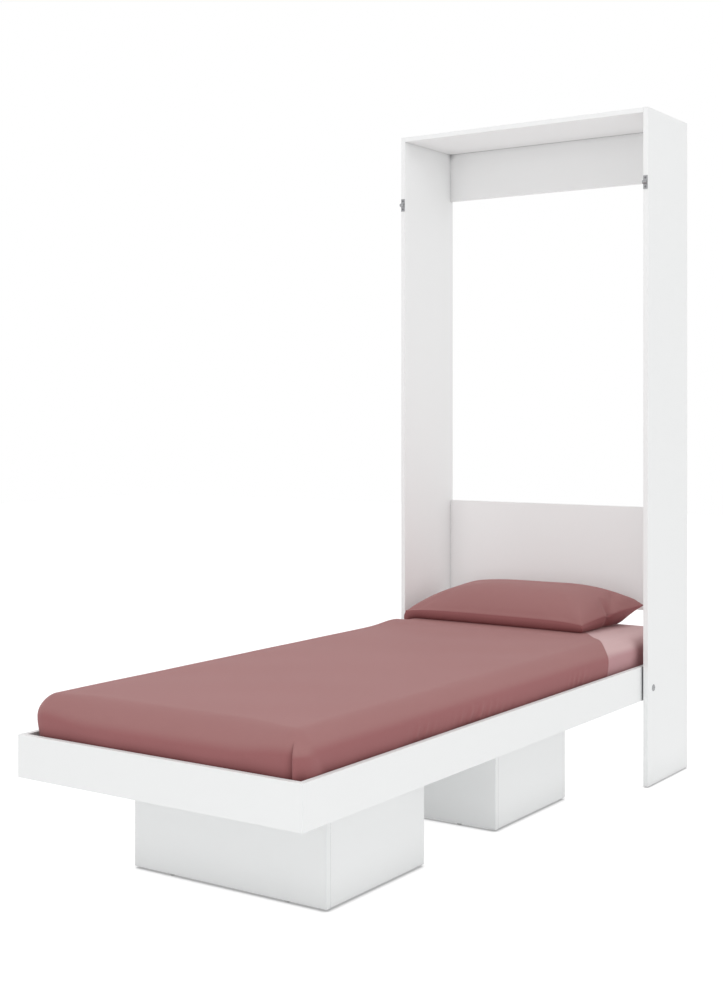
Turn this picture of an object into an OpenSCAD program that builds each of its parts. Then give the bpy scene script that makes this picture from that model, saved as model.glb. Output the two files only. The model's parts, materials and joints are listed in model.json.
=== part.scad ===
// Single wall bed that folds up into an open cabinet, drawn with the bed down.
// The origin is on the floor, midway between the side panels and midway between
// the footboard's face and the cabinet's back. X is across, Y to the wall, Z up.

/* [Mattress and bedding] */
// Width of the mattress
mattress_w = 780; // [700:5:1000]
// Length of the mattress
mattress_l = 1880; // [1700:5:2000]
// Thickness of the mattress
mattress_t = 172; // [120:1:175]
// Rounding of the mattress's corners, seen from above
mattress_corner_r = 60; // [45:1:90]
// Rounding of the mattress's top edge
mattress_top_r = 38; // [20:1:42]
// Rounding of the mattress's bottom edge
mattress_bottom_r = 18; // [8:1:24]
// Gap between the mattress and each side rail
mattress_side_gap = 8; // [7:0.5:14]
// Gap between the mattress and the footboard
mattress_foot_gap = 8; // [7:0.5:20]
// Gap between the mattress and the head rail
mattress_head_gap = 12; // [6:0.5:30]
// Thickness of the fitted sheet
sheet_t = 1; // [0.8:0.1:2]
// Thickness of the bedspread
spread_t = 2.5; // [1.5:0.1:3]
// Length of sheet left bare on top, from the mattress's head end to the bedspread
spread_back = 207; // [150:1:600]
// How much further back the bedspread's hem lies on the right side
spread_sweep = 235; // [40:1:260]
// Width of the pillow along its back seam
pillow_w = 694; // [500:1:760]
// Depth of the pillow from seam to seam
pillow_d = 294; // [250:1:330]
// Height of the pillow's crown above the bedspread
pillow_h = 108; // [80:1:135]
// How much shorter the pillow's front seam is than its back seam
pillow_taper = 66; // [0:1:120]
// Distance from the mattress's head end to the pillow's back seam
pillow_back = 8; // [6:1:60]
// How far the pillow lies to the left of the middle
pillow_shift = 36; // [0:1:60]
// How much further to the left its front seam lies
pillow_skew = 34; // [0:1:60]

/* [Boards] */
// Thickness of every board
board_t = 15; // [15:0.5:18]
// Rounding of the banded board edges
edge_r = 0.8; // [0.4:0.1:1.5]

/* [Bed tray] */
// Height of the tray's underside above the floor
bed_z = 253; // [251:1:270]
// Height of the rails and the footboard
rail_h = 100; // [90:1:115]
// Gap between the tray and each side panel
bed_gap = 5; // [4:0.5:10]

/* [Foot boxes] */
// Width of the two boxes that the bed stands on
box_w = 574; // [400:1:640]
// Length of each box along the bed
box_l = 400; // [250:1:420]
// From the footboard's face to the front box
front_box_from_foot = 255; // [230:1:330]
// Free length between the two boxes
box_spacing = 350; // [250:1:380]
// Height of the boxes' glides
box_glide_h = 5; // [3:0.5:12]

/* [Cabinet] */
// Depth of the side panels
cabinet_d = 300; // [296:1:340]
// Space left behind the head rail, up to the wall
head_space = 21; // [12:0.5:30]
// Gap between the raised footboard and the top panel
top_gap = 6; // [4:0.5:15]
// Height of the rail at the back under the top panel
top_rail_h = 160; // [120:1:240]
// Height of the lower back panel's bottom edge above the floor
lower_panel_z = 480; // [476:1:560]
// Height of the lower back panel
lower_panel_h = 325; // [200:1:400]
// Height of the cabinet's glides
cabinet_glide_h = 3; // [2:0.5:6]

/* [Pivots] */
// From the cabinet's front to the pivot axis
pivot_back = 40; // [36:0.5:44]
// How far the raised bed's underside lies behind the cabinet's front edges
closed_recess = 5; // [4:0.5:8]
// Radius of the pivot sleeve
pivot_r = 5; // [4:0.5:6]
// Radius of the pivot screw inside the sleeve
pivot_screw_r = 3; // [2.5:0.5:3.5]
// Wall of the nylon bush in the rail
bush_wall = 2; // [1.5:0.5:3]
// Radius of the pivot's outer and inner heads
pivot_head_r = 10; // [9:0.5:12]
// Radial clearance between the sleeve and the bush
running_gap = 0.05; // [0.03:0.01:0.08]

/* [Barrel bolts] */
// From the footboard's face to the bolts
bolt_from_foot = 200; // [150:1:230]
// Radius of the sliding rod
rod_r = 3; // [2.5:0.25:3.5]
// Travel of the sliding rod
rod_travel = 58; // [56:0.5:60]
// From each rail's outer face to the bolt's base plate
bolt_in = 40; // [38:0.5:42]
// Height of the rod's axis over the tray's underside
rod_stand = 10; // [9.5:0.25:12]
// Width of the bolt's base plate
bolt_plate_w = 30; // [28:1:40]
// Height of the keeper, from end to end
keeper_h = 40; // [38:1:50]
// Free space round the rod in the keeper
keeper_play = 1.2; // [0.8:0.1:1.6]

/* [Fittings] */
// Radius of a cam
cam_r = 7.5; // [7:0.5:7.5]
// Height of a cam
cam_h = 12.4; // [11:0.1:12.4]
// From a board's end to the axis of its cam
cam_inset = 34; // [24:1:38]
// Radius of a wooden dowel
dowel_r = 4; // [3:0.5:4]
// Length of a wooden dowel
dowel_l = 30; // [24:1:36]
// Clearance round a fitting in its bore
fit_gap = 0.1; // [0.05:0.01:0.2]

/* [Wall brackets] */
// Length of each leg of a wall bracket
bracket_leg = 35; // [30:1:50]
// Width of a wall bracket
bracket_w = 60; // [50:1:90]
// Distance between the two holes of a leg
bracket_pitch = 36; // [30:1:40]
// Radius of the holes for the wall screws
wall_hole_r = 3.25; // [2.5:0.25:3.5]
// From the middle of the cabinet to each bracket
bracket_x = 300; // [150:5:320]

/* [Hidden] */
$fn = 32;

// The tray round the mattress, and the cabinet round the tray
tray_in_x = mattress_w / 2 + mattress_side_gap;
tray_x = tray_in_x + board_t;
tray_in_l = mattress_l + mattress_foot_gap + mattress_head_gap;
cabinet_in_x = tray_x + bed_gap;
cabinet_x = cabinet_in_x + board_t;
total_d = tray_in_l + 2 * board_t + head_space;
foot_y = -total_d / 2;
back_y = total_d / 2;
front_y = back_y - cabinet_d;
foot_in_y = foot_y + board_t;
head_in_y = foot_in_y + tray_in_l;
rail_top = bed_z + rail_h;
base_top = bed_z + board_t;

// The pivot axis, and the cabinet's height that follows from the raised bed
pivot_y = front_y + pivot_back;
bush_r = pivot_r + running_gap + bush_wall;
spacer_t = bed_gap - 0.4;
pivot_z = bed_z + pivot_back - closed_recess;
cabinet_h = pivot_z + (pivot_y - foot_y) + top_gap + board_t;
top_z = cabinet_h - board_t;
back_panel_y = back_y - board_t;
top_rail_z = top_z - top_rail_h;

// The foot boxes, named by their front faces
box_z = box_glide_h;
box_h = bed_z - box_glide_h;
front_box_y = foot_y + front_box_from_foot;
rear_box_y = front_box_y + box_l + box_spacing;
seam_y = rear_box_y + board_t / 2;
glide_x = box_w * 0.3;

// The bedding
mattress_x = mattress_w / 2;
mattress_foot_y = foot_in_y + mattress_foot_gap;
mattress_head_y = head_in_y - mattress_head_gap;
mattress_mid_y = (mattress_foot_y + mattress_head_y) / 2;
mattress_top = base_top + mattress_t;
skin_gap = 0.3;
sheet_in = skin_gap;
sheet_out = sheet_in + sheet_t;
spread_in = sheet_out + skin_gap;
spread_out = spread_in + spread_t;
spread_head_y = mattress_head_y - spread_back;
skin_low = base_top + 3;

// The barrel bolts and their keepers
bolt_y = foot_y + bolt_from_foot;
rod_z = bed_z - rod_stand;
keeper_z = pivot_z + pivot_y - bolt_y;
keeper_axis_y = pivot_y - (pivot_z - rod_z);
keeper_out = front_y - keeper_axis_y;
keeper_in_r = rod_r + keeper_play;
keeper_t = 1.2;
keeper_w = board_t - 1;
keeper_screw_z = (keeper_h / 2 + keeper_in_r + keeper_t) / 2 + 0.5;
keeper_screw_l = 14;
loop_play = 0.1;
loop_t = 1.5;
loop_w = 8;
loop_end = 2;
knob_r = 5;
knob_space = 4;
bolt_plate_l = 2 * (loop_end + loop_w + knob_space + knob_r) + rod_travel;
plate_t = 1.2;
plate_x1 = tray_x - bolt_in;
plate_x0 = plate_x1 - bolt_plate_l;
rod_tip_x = plate_x1;
rod_l = bolt_plate_l + rod_travel - loop_end;
knob_pin_r = 1.5;
plate_screw_l = 12;
knob_x = plate_x0 + loop_end + loop_w + knob_space + knob_r;

// Cam bolts, screws and bores
cam_depth = 12.5;
cam_bolt_r = 3;
cam_head_r = 3.6;
cam_bolt_in = 11;
dowel_in_face = dowel_l / 3;
dowel_in_end = dowel_l - dowel_in_face;
bore_end_gap = 0.4;
screw_r = 1.75;
screw_head_r = 3.4;
screw_head_h = 2;
bracket_t = 3;
wall_bracket_screw_l = 14;
angle_leg = 20;
angle_w = 18;
angle_t = 2;
box_screw_l = 11;
glide_r = 6.5;
nail_r = 1.2;
nail_l = 12;

// Points of an arc, first angle to last
function arc(cx, cy, r, a0, a1, n) =
    [for (i = [0:n]) let (a = a0 + (a1 - a0) * i / n) [cx + r * cos(a), cy + r * sin(a)]];

// Outline of a board's section, with rounded corners
function section(a, b, r) = concat(
    arc(a - r, r, r, -90, 0, 3),
    arc(a - r, b - r, r, 0, 90, 3),
    arc(r, b - r, r, 90, 180, 3),
    arc(r, r, r, 180, 270, 3));

// A board from its low corner; its banded edges run along the named axis
module board(at, size, along) {
    translate(at) {
        if (along == "x") {
            rotate([90, 0, 90]) linear_extrude(size.x) polygon(section(size.y, size.z, edge_r));
        }
        if (along == "y") {
            translate([0, size.y, 0]) rotate([90, 0, 0])
                linear_extrude(size.y) polygon(section(size.x, size.z, edge_r));
        }
        if (along == "z") {
            linear_extrude(size.z) polygon(section(size.x, size.y, edge_r));
        }
    }
}

// Joints between boards. Each is [place, turn]: +X points into the board that holds
// the cam, from the face of the board it is bolted to, and +Z to the cam's mouth.
module placed(joints) {
    for (j = joints) translate(j[0]) rotate(j[1]) children();
}

function side_turn(s, left, right) = s < 0 ? left : right;

// Ends of the boards between the side panels, on the side s
function top_panel_at(s, y) =
    [[s * cabinet_in_x, y, top_z + board_t / 2], side_turn(s, [0, 0, 0], [0, 0, 180])];
function back_board_at(s, z) =
    [[s * cabinet_in_x, back_y - board_t / 2, z], side_turn(s, [-90, 0, 0], [90, 0, 180])];

function top_cams(s) = [for (k = [0.25, 0.75]) top_panel_at(s, front_y + cabinet_d * k)];
function top_dowels(s) = [for (k = [0.1, 0.5]) top_panel_at(s, front_y + cabinet_d * k)];
function top_rail_cams(s) = [back_board_at(s, top_rail_z + top_rail_h * 0.5)];
function top_rail_dowels(s) = [for (k = [0.2, 0.8]) back_board_at(s, top_rail_z + top_rail_h * k)];
function lower_cams(s) = [for (k = [0.2, 0.8]) back_board_at(s, lower_panel_z + lower_panel_h * k)];
function lower_dowels(s) = [for (k = [0.1, 0.5, 0.9]) back_board_at(s, lower_panel_z + lower_panel_h * k)];
function cabinet_cams_at(s) = concat(top_cams(s), top_rail_cams(s), lower_cams(s));
function cabinet_dowels_at(s) = concat(top_dowels(s), top_rail_dowels(s), lower_dowels(s));

// Ends and edges of the boards of the tray
rail_cam_z = bed_z + rail_h * 0.6;
rail_dowel_z = bed_z + rail_h * 0.35;
function foot_end(s, z) =
    [[s * (tray_x - board_t / 2), foot_in_y, z], side_turn(s, [90, 0, 90], [-90, 0, 90])];
function head_end(s, z) =
    [[s * tray_in_x, head_in_y + board_t / 2, z], side_turn(s, [90, 0, 0], [-90, 0, 180])];
function base_side(s, y) =
    [[s * tray_in_x, y, bed_z + board_t / 2], side_turn(s, [0, 0, 0], [0, 0, 180])];
function base_foot(x) = [[x, foot_in_y, bed_z + board_t / 2], [0, 0, 90]];
function base_head(x) = [[x, head_in_y, bed_z + board_t / 2], [0, 0, -90]];
function base_seam(x) = [[x, seam_y, bed_z + board_t / 2], [0, 0, 90]];
function between(a, b, parts) = [for (k = parts) a + (b - a) * k];
cam_parts = [0.12, 0.5, 0.88];
dowel_parts = [0.3, 0.7];
function foot_base_cams(s) = [for (y = between(foot_in_y, seam_y, cam_parts)) base_side(s, y)];
function head_base_cams(s) = [for (y = between(seam_y, head_in_y, cam_parts)) base_side(s, y)];
function foot_base_dowels(s) = [for (y = between(foot_in_y, seam_y, dowel_parts)) base_side(s, y)];
function head_base_dowels(s) = [for (y = between(seam_y, head_in_y, dowel_parts)) base_side(s, y)];
base_foot_cams = [for (x = between(-tray_in_x, tray_in_x, [0.25, 0.75])) base_foot(x)];
base_head_cams = [for (x = between(-tray_in_x, tray_in_x, [0.25, 0.75])) base_head(x)];
seam_dowels = [for (x = between(-tray_in_x, tray_in_x, [0.1, 0.37, 0.63, 0.9])) base_seam(x)];
foot_rail_cams = [for (s = [-1, 1]) foot_end(s, rail_cam_z)];
foot_rail_dowels = [for (s = [-1, 1]) foot_end(s, rail_dowel_z)];

// Corners of a box whose front face is at y: e is -1 at its front wall, 1 at its back wall
box_dowel_parts = [0.2, 0.8];
function box_corner(y, s, e, z) = [
    [s * (box_w - board_t) / 2, y + (e < 0 ? board_t : box_l - board_t), z],
    [s * e * 90, 0, -90 * e]];
function box_cams_at(y, s, e) = [box_corner(y, s, e, box_z + box_h / 2)];
function box_dowels_at(y, s, e) =
    [for (k = box_dowel_parts) box_corner(y, s, e, box_z + box_h * k)];

// Cam: a drum with a socket for the bolt's head and a cross slot in its top
module cam() {
    translate([cam_inset, 0, board_t / 2 - cam_h]) difference() {
        cylinder(h = cam_h - 0.1, r = cam_r - fit_gap);
        translate([-cam_r, 0, cam_h - board_t / 2]) rotate([0, 90, 0])
            cylinder(h = cam_r + 2.5, r = cam_head_r + 0.3);
        for (a = [45, 135]) rotate(a) translate([-3.5, -0.6, cam_h - 2]) cube([7, 1.2, 3]);
    }
}

// Bolt: threaded end in the face of one board, slim shank and head inside the cam
module cam_bolt() {
    rotate([0, 90, 0]) rotate_extrude() polygon([
        [0, -cam_bolt_in], [cam_bolt_r, -cam_bolt_in], [cam_bolt_r, 0], [cam_bolt_r, cam_inset - 8],
        [cam_bolt_r - 1, cam_inset - 7], [cam_bolt_r - 1, cam_inset - 4], [cam_head_r, cam_inset - 3],
        [cam_head_r, cam_inset - 0.5], [0, cam_inset - 0.5]]);
}

module cam_cuts() {
    translate([cam_inset, 0, board_t / 2 - cam_depth]) cylinder(h = cam_depth + 1, r = cam_r);
    rotate([0, 90, 0]) translate([0, 0, -1]) cylinder(h = cam_inset + 1, r = cam_head_r + 0.3);
}

module cam_bolt_bore() {
    rotate([0, -90, 0]) translate([0, 0, -1])
        cylinder(h = cam_bolt_in + bore_end_gap + 1, r = cam_bolt_r + fit_gap);
}

// Dowel with chamfered ends, a third of it in the face and the rest in the end grain
module dowel() {
    rotate([0, 90, 0]) rotate_extrude() polygon([
        [0, -dowel_in_face], [dowel_r - 1, -dowel_in_face], [dowel_r, 1 - dowel_in_face],
        [dowel_r, dowel_in_end - 1], [dowel_r - 1, dowel_in_end], [0, dowel_in_end]]);
}

module dowel_end_bore() {
    rotate([0, 90, 0]) translate([0, 0, -1])
        cylinder(h = dowel_in_end + bore_end_gap + 1, r = dowel_r + fit_gap);
}

module dowel_face_bore() {
    rotate([0, -90, 0]) translate([0, 0, -1])
        cylinder(h = dowel_in_face + bore_end_gap + 1, r = dowel_r + fit_gap);
}

// Countersunk wood screw along +Z, its head's face at z = 0 and its point at z = length
module screw(length) {
    rotate_extrude() polygon([[0, 0], [screw_head_r, 0], [screw_head_r, 0.4],
        [screw_r, screw_head_h], [screw_r, length - 2], [0.4, length], [0, length]]);
}

// Countersunk bore for that screw, cut through the plate and into the board behind it
module screw_bore(length) {
    rotate_extrude() polygon([[0, -1], [screw_head_r + fit_gap, -1], [screw_head_r + fit_gap, 0.4],
        [screw_r + fit_gap, screw_head_h], [screw_r + fit_gap, length + bore_end_gap],
        [0, length + bore_end_gap]]);
}

// Side panels
module side_panel(s) {
    color("whitesmoke") difference() {
        board([s < 0 ? -cabinet_x : cabinet_in_x, front_y, cabinet_glide_h],
            [board_t, cabinet_d, cabinet_h - cabinet_glide_h], "z");
        placed(cabinet_cams_at(s)) cam_bolt_bore();
        placed(cabinet_dowels_at(s)) dowel_face_bore();
        translate([s * (cabinet_in_x - 1), pivot_y, pivot_z]) rotate([0, s * 90, 0])
            cylinder(h = board_t + 2, r = pivot_r + fit_gap);
        keeper_screws_at() screw_bore(keeper_screw_l);
        for (y = cabinet_glide_ys()) translate([s * (cabinet_x - board_t / 2), y, cabinet_glide_h - 1])
            cylinder(h = nail_l + 1 + bore_end_gap, r = nail_r + fit_gap);
    }
}

module left_side_panel() {
    side_panel(-1);
}

module right_side_panel() {
    side_panel(1);
}

// Top panel, between the side panels
module top_panel() {
    color("whitesmoke") difference() {
        board([-cabinet_in_x, front_y, top_z], [2 * cabinet_in_x, cabinet_d, board_t], "x");
        for (s = [-1, 1]) {
            placed(top_cams(s)) cam_cuts();
            placed(top_dowels(s)) dowel_end_bore();
        }
        wall_bracket_screws_at() screw_bore(wall_bracket_screw_l);
    }
}

// Boards at the cabinet's back: the rail under the top and the lower panel
module top_back_rail() {
    color("whitesmoke") difference() {
        board([-cabinet_in_x, back_panel_y, top_rail_z], [2 * cabinet_in_x, board_t, top_rail_h], "x");
        for (s = [-1, 1]) {
            placed(top_rail_cams(s)) cam_cuts();
            placed(top_rail_dowels(s)) dowel_end_bore();
        }
    }
}

module lower_back_panel() {
    color("whitesmoke") difference() {
        board([-cabinet_in_x, back_panel_y, lower_panel_z],
            [2 * cabinet_in_x, board_t, lower_panel_h], "x");
        for (s = [-1, 1]) {
            placed(lower_cams(s)) cam_cuts();
            placed(lower_dowels(s)) dowel_end_bore();
        }
    }
}

// Glides: a domed foot of height h with a nail into the board above it
module glide(h) {
    rotate_extrude() polygon(concat(
        [[0, 0], [glide_r - 1.5, 0], [glide_r, min(1.5, h / 2)], [glide_r, h], [nail_r, h]],
        [[nail_r, h + nail_l - 2], [0, h + nail_l]]));
}

function cabinet_glide_ys() = [front_y + cabinet_d * 0.12, back_y - cabinet_d * 0.12];

module cabinet_glides() {
    color("gainsboro") for (s = [-1, 1], y = cabinet_glide_ys())
        translate([s * (cabinet_x - board_t / 2), y, 0]) glide(cabinet_glide_h);
}

module cabinet_cams() {
    color("silver") for (s = [-1, 1]) placed(cabinet_cams_at(s)) cam();
}

module cabinet_cam_bolts() {
    color("gold") for (s = [-1, 1]) placed(cabinet_cams_at(s)) cam_bolt();
}

module cabinet_dowels() {
    color("burlywood") for (s = [-1, 1]) placed(cabinet_dowels_at(s)) dowel();
}

// Wall brackets: one leg screwed down on the top panel, the other against the wall
module wall_bracket_screws_at() {
    for (s = [-1, 1], k = [-1, 1])
        translate([s * bracket_x + k * bracket_pitch / 2, back_y - bracket_leg * 0.6, cabinet_h + bracket_t])
            mirror([0, 0, 1]) children();
}

module wall_brackets() {
    color("silver") difference() {
        for (s = [-1, 1]) translate([s * bracket_x - bracket_w / 2, 0, cabinet_h]) {
            translate([0, back_y - bracket_leg, 0]) cube([bracket_w, bracket_leg, bracket_t]);
            translate([0, back_y - bracket_t, 0]) cube([bracket_w, bracket_t, bracket_leg]);
        }
        wall_bracket_screws_at() screw_bore(wall_bracket_screw_l);
        for (s = [-1, 1], k = [-1, 1])
            translate([s * bracket_x + k * bracket_pitch / 2, back_y + 1, cabinet_h + bracket_leg * 0.6])
                rotate([90, 0, 0]) cylinder(h = bracket_t + 2, r = wall_hole_r);
    }
}

module wall_bracket_screws() {
    color("dimgray") wall_bracket_screws_at() screw(wall_bracket_screw_l);
}

// Keepers on the side panels' front edges: a flat strip bent out round the rod.
// The outline's first axis points out of the panel's edge and its second one up.
module keeper_outline() {
    difference() {
        union() {
            translate([0, -keeper_h / 2]) square([keeper_t, keeper_h]);
            translate([0, -keeper_in_r - keeper_t]) square([keeper_out, 2 * (keeper_in_r + keeper_t)]);
            translate([keeper_out, 0]) circle(r = keeper_in_r + keeper_t);
        }
        translate([keeper_out, 0]) circle(r = keeper_in_r);
        translate([-1, -keeper_in_r]) square([keeper_out + 1, 2 * keeper_in_r]);
    }
}

module keeper_screws_at() {
    for (s = [-1, 1], z = [-1, 1])
        translate([s * (cabinet_x - board_t / 2), front_y - keeper_t, keeper_z + z * keeper_screw_z])
            rotate([-90, 0, 0]) children();
}

module bolt_keepers() {
    color("silver") difference() {
        for (s = [-1, 1]) translate([s * (cabinet_x - board_t / 2) + keeper_w / 2, front_y, keeper_z])
            rotate([90, 0, -90]) linear_extrude(keeper_w) keeper_outline();
        keeper_screws_at() screw_bore(keeper_screw_l);
    }
}

module keeper_screws() {
    color("dimgray") keeper_screws_at() screw(keeper_screw_l);
}

// Pivots. The frame starts at the rail's inner face and +Z points out of the cabinet.
pivot_l = 2 * board_t + bed_gap;
sleeve_l = pivot_l - 2;
sleeve_blind = 5;
inner_head_t = 2;
head_play = 0.3;

module pivots() {
    for (s = [-1, 1]) translate([s * tray_in_x, pivot_y, pivot_z]) rotate([0, s * 90, 0]) children();
}

// Sleeve: its inner head keeps the rail on it, and it turns with the cabinet's panel
module pivot_sleeves() {
    low = -head_play - inner_head_t;
    color("silver") pivots() rotate_extrude() polygon([
        [0, low], [pivot_head_r - 1, low], [pivot_head_r, low + 1], [pivot_head_r, -head_play],
        [pivot_r, -head_play], [pivot_r, sleeve_l], [pivot_screw_r + fit_gap, sleeve_l],
        [pivot_screw_r + fit_gap, sleeve_blind], [0, sleeve_blind]]);
}

// Screw with a low domed head and a hexagon socket, driven in from outside
module pivot_screws() {
    color("silver") pivots() difference() {
        rotate_extrude() polygon([[0, sleeve_blind + 2], [pivot_screw_r, sleeve_blind + 2],
            [pivot_screw_r, pivot_l], [pivot_head_r, pivot_l], [pivot_head_r, pivot_l + 1],
            [pivot_head_r - 1.5, pivot_l + 2], [pivot_head_r - 4, pivot_l + 2.5], [0, pivot_l + 2.5]]);
        translate([0, 0, pivot_l - 0.5]) cylinder(h = 4, r = 2.9, $fn = 6);
    }
}

module pivot_spacers() {
    color("gainsboro") pivots() translate([0, 0, board_t + bed_gap - spacer_t]) difference() {
        cylinder(h = spacer_t, r = pivot_head_r + 3);
        translate([0, 0, -1]) cylinder(h = spacer_t + 2, r = pivot_r + fit_gap);
    }
}

module pivot_bushes() {
    color("ivory") pivots() difference() {
        cylinder(h = board_t, r = bush_r);
        translate([0, 0, -1]) cylinder(h = board_t + 2, r = pivot_r + running_gap);
    }
}

// Bed rails, footboard and head rail of the tray
module bed_rail(s) {
    color("whitesmoke") difference() {
        board([s < 0 ? -tray_x : tray_in_x, foot_in_y, bed_z],
            [board_t, tray_in_l + board_t, rail_h], "y");
        translate([s * (tray_in_x - 1), pivot_y, pivot_z]) rotate([0, s * 90, 0])
            cylinder(h = board_t + 2, r = bush_r + fit_gap);
        placed([foot_end(s, rail_cam_z)]) cam_cuts();
        placed([foot_end(s, rail_dowel_z)]) dowel_end_bore();
        placed([head_end(s, rail_cam_z)]) cam_bolt_bore();
        placed([head_end(s, rail_dowel_z)]) dowel_face_bore();
        placed(concat(foot_base_cams(s), head_base_cams(s))) cam_bolt_bore();
        placed(concat(foot_base_dowels(s), head_base_dowels(s))) dowel_face_bore();
    }
}

module left_bed_rail() {
    bed_rail(-1);
}

module right_bed_rail() {
    bed_rail(1);
}

module footboard() {
    color("whitesmoke") difference() {
        board([-tray_x, foot_y, bed_z], [2 * tray_x, board_t, rail_h], "x");
        placed(concat(foot_rail_cams, base_foot_cams)) cam_bolt_bore();
        placed(foot_rail_dowels) dowel_face_bore();
    }
}

module head_rail() {
    color("whitesmoke") difference() {
        board([-tray_in_x, head_in_y, bed_z], [2 * tray_in_x, board_t, rail_h], "x");
        for (s = [-1, 1]) {
            placed([head_end(s, rail_cam_z)]) cam_cuts();
            placed([head_end(s, rail_dowel_z)]) dowel_end_bore();
        }
        placed(base_head_cams) cam_bolt_bore();
    }
}

// Base panels: they carry the mattress, and their seam lies on the rear box's front wall
module base_panel(y0, y1) {
    board([-tray_in_x, y0, bed_z], [2 * tray_in_x, y1 - y0, board_t], "y");
}

module foot_base_panel() {
    color("whitesmoke") difference() {
        base_panel(foot_in_y, seam_y);
        for (s = [-1, 1]) {
            placed(foot_base_cams(s)) cam_cuts();
            placed(foot_base_dowels(s)) dowel_end_bore();
        }
        placed(base_foot_cams) cam_cuts();
        placed(seam_dowels) dowel_face_bore();
        box_screws_at(front_box_y) screw_bore(box_screw_l);
        bolt_plate_screws_at() screw_bore(plate_screw_l);
    }
}

module head_base_panel() {
    color("whitesmoke") difference() {
        base_panel(seam_y, head_in_y);
        for (s = [-1, 1]) {
            placed(head_base_cams(s)) cam_cuts();
            placed(head_base_dowels(s)) dowel_end_bore();
        }
        placed(base_head_cams) cam_cuts();
        placed(seam_dowels) dowel_end_bore();
        box_screws_at(rear_box_y) screw_bore(box_screw_l);
    }
}

tray_cam_joints = concat(foot_rail_cams, base_foot_cams, base_head_cams,
    [for (s = [-1, 1]) head_end(s, rail_cam_z)],
    [for (s = [-1, 1]) each concat(foot_base_cams(s), head_base_cams(s))]);
tray_dowel_joints = concat(foot_rail_dowels, seam_dowels,
    [for (s = [-1, 1]) head_end(s, rail_dowel_z)],
    [for (s = [-1, 1]) each concat(foot_base_dowels(s), head_base_dowels(s))]);

module tray_cams() {
    color("silver") placed(tray_cam_joints) cam();
}

module tray_cam_bolts() {
    color("gold") placed(tray_cam_joints) cam_bolt();
}

module tray_dowels() {
    color("burlywood") placed(tray_dowel_joints) dowel();
}

// Foot boxes: open frames of four walls that turn into shelves when the bed is up
box_ys = [front_box_y, rear_box_y];

// Full-width wall of the box at y: e is -1 for its front wall and 1 for its back wall
module cross_wall(y, e) {
    color("whitesmoke") difference() {
        board([-box_w / 2, e < 0 ? y : y + box_l - board_t, box_z], [box_w, board_t, box_h], "z");
        for (s = [-1, 1]) {
            placed(box_cams_at(y, s, e)) cam_bolt_bore();
            placed(box_dowels_at(y, s, e)) dowel_face_bore();
        }
        box_screws_at(y) screw_bore(box_screw_l);
        box_glides_at(y) translate([0, 0, box_z - 1])
            cylinder(h = nail_l + 1 + bore_end_gap, r = nail_r + fit_gap);
    }
}

// Wall between those two, on the side s
module side_wall(y, s) {
    color("whitesmoke") difference() {
        board([s < 0 ? -box_w / 2 : box_w / 2 - board_t, y + board_t, box_z],
            [board_t, box_l - 2 * board_t, box_h], "y");
        for (e = [-1, 1]) {
            placed(box_cams_at(y, s, e)) cam_cuts();
            placed(box_dowels_at(y, s, e)) dowel_end_bore();
        }
        box_screws_at(y) screw_bore(box_screw_l);
    }
}

module front_box_front_wall() {
    cross_wall(front_box_y, -1);
}

module front_box_back_wall() {
    cross_wall(front_box_y, 1);
}

module front_box_left_wall() {
    side_wall(front_box_y, -1);
}

module front_box_right_wall() {
    side_wall(front_box_y, 1);
}

module rear_box_front_wall() {
    cross_wall(rear_box_y, -1);
}

module rear_box_back_wall() {
    cross_wall(rear_box_y, 1);
}

module rear_box_left_wall() {
    side_wall(rear_box_y, -1);
}

module rear_box_right_wall() {
    side_wall(rear_box_y, 1);
}

box_cam_joints = [for (y = box_ys, s = [-1, 1], e = [-1, 1]) each box_cams_at(y, s, e)];
box_dowel_joints = [for (y = box_ys, s = [-1, 1], e = [-1, 1]) each box_dowels_at(y, s, e)];

module box_cams() {
    color("silver") placed(box_cam_joints) cam();
}

module box_cam_bolts() {
    color("gold") placed(box_cam_joints) cam_bolt();
}

module box_dowels() {
    color("burlywood") placed(box_dowel_joints) dowel();
}

// Angle brackets that hang the boxes from the base panels. Each frame starts where a
// wall's inner face meets the base panel, and +Y points into the box.
module box_brackets_at(y) {
    for (k = [-0.25, 0.25]) {
        translate([box_w * k, y + board_t, bed_z]) children();
        translate([box_w * k, y + box_l - board_t, bed_z]) rotate(180) children();
    }
    for (s = [-1, 1]) translate([s * (box_w / 2 - board_t), y + box_l / 2, bed_z]) rotate(s * 90) children();
}

module box_screws_at(y) {
    box_brackets_at(y) {
        translate([0, angle_leg * 0.6, -angle_t]) children();
        translate([0, angle_t, -angle_leg * 0.6]) rotate([90, 0, 0]) children();
    }
}

module angle_bracket() {
    difference() {
        union() {
            translate([-angle_w / 2, 0, -angle_t]) cube([angle_w, angle_leg, angle_t]);
            translate([-angle_w / 2, 0, -angle_leg]) cube([angle_w, angle_t, angle_leg]);
        }
        translate([0, angle_leg * 0.6, -angle_t]) screw_bore(box_screw_l);
        translate([0, angle_t, -angle_leg * 0.6]) rotate([90, 0, 0]) screw_bore(box_screw_l);
    }
}

module box_brackets() {
    color("silver") for (y = box_ys) box_brackets_at(y) angle_bracket();
}

module box_bracket_screws() {
    color("dimgray") for (y = box_ys) box_screws_at(y) screw(box_screw_l);
}

module box_glides_at(y) {
    for (s = [-1, 1], k = [board_t / 2, box_l - board_t / 2]) translate([s * glide_x, y + k, 0]) children();
}

module box_glides() {
    color("gainsboro") for (y = box_ys) box_glides_at(y) glide(box_glide_h);
}

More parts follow.
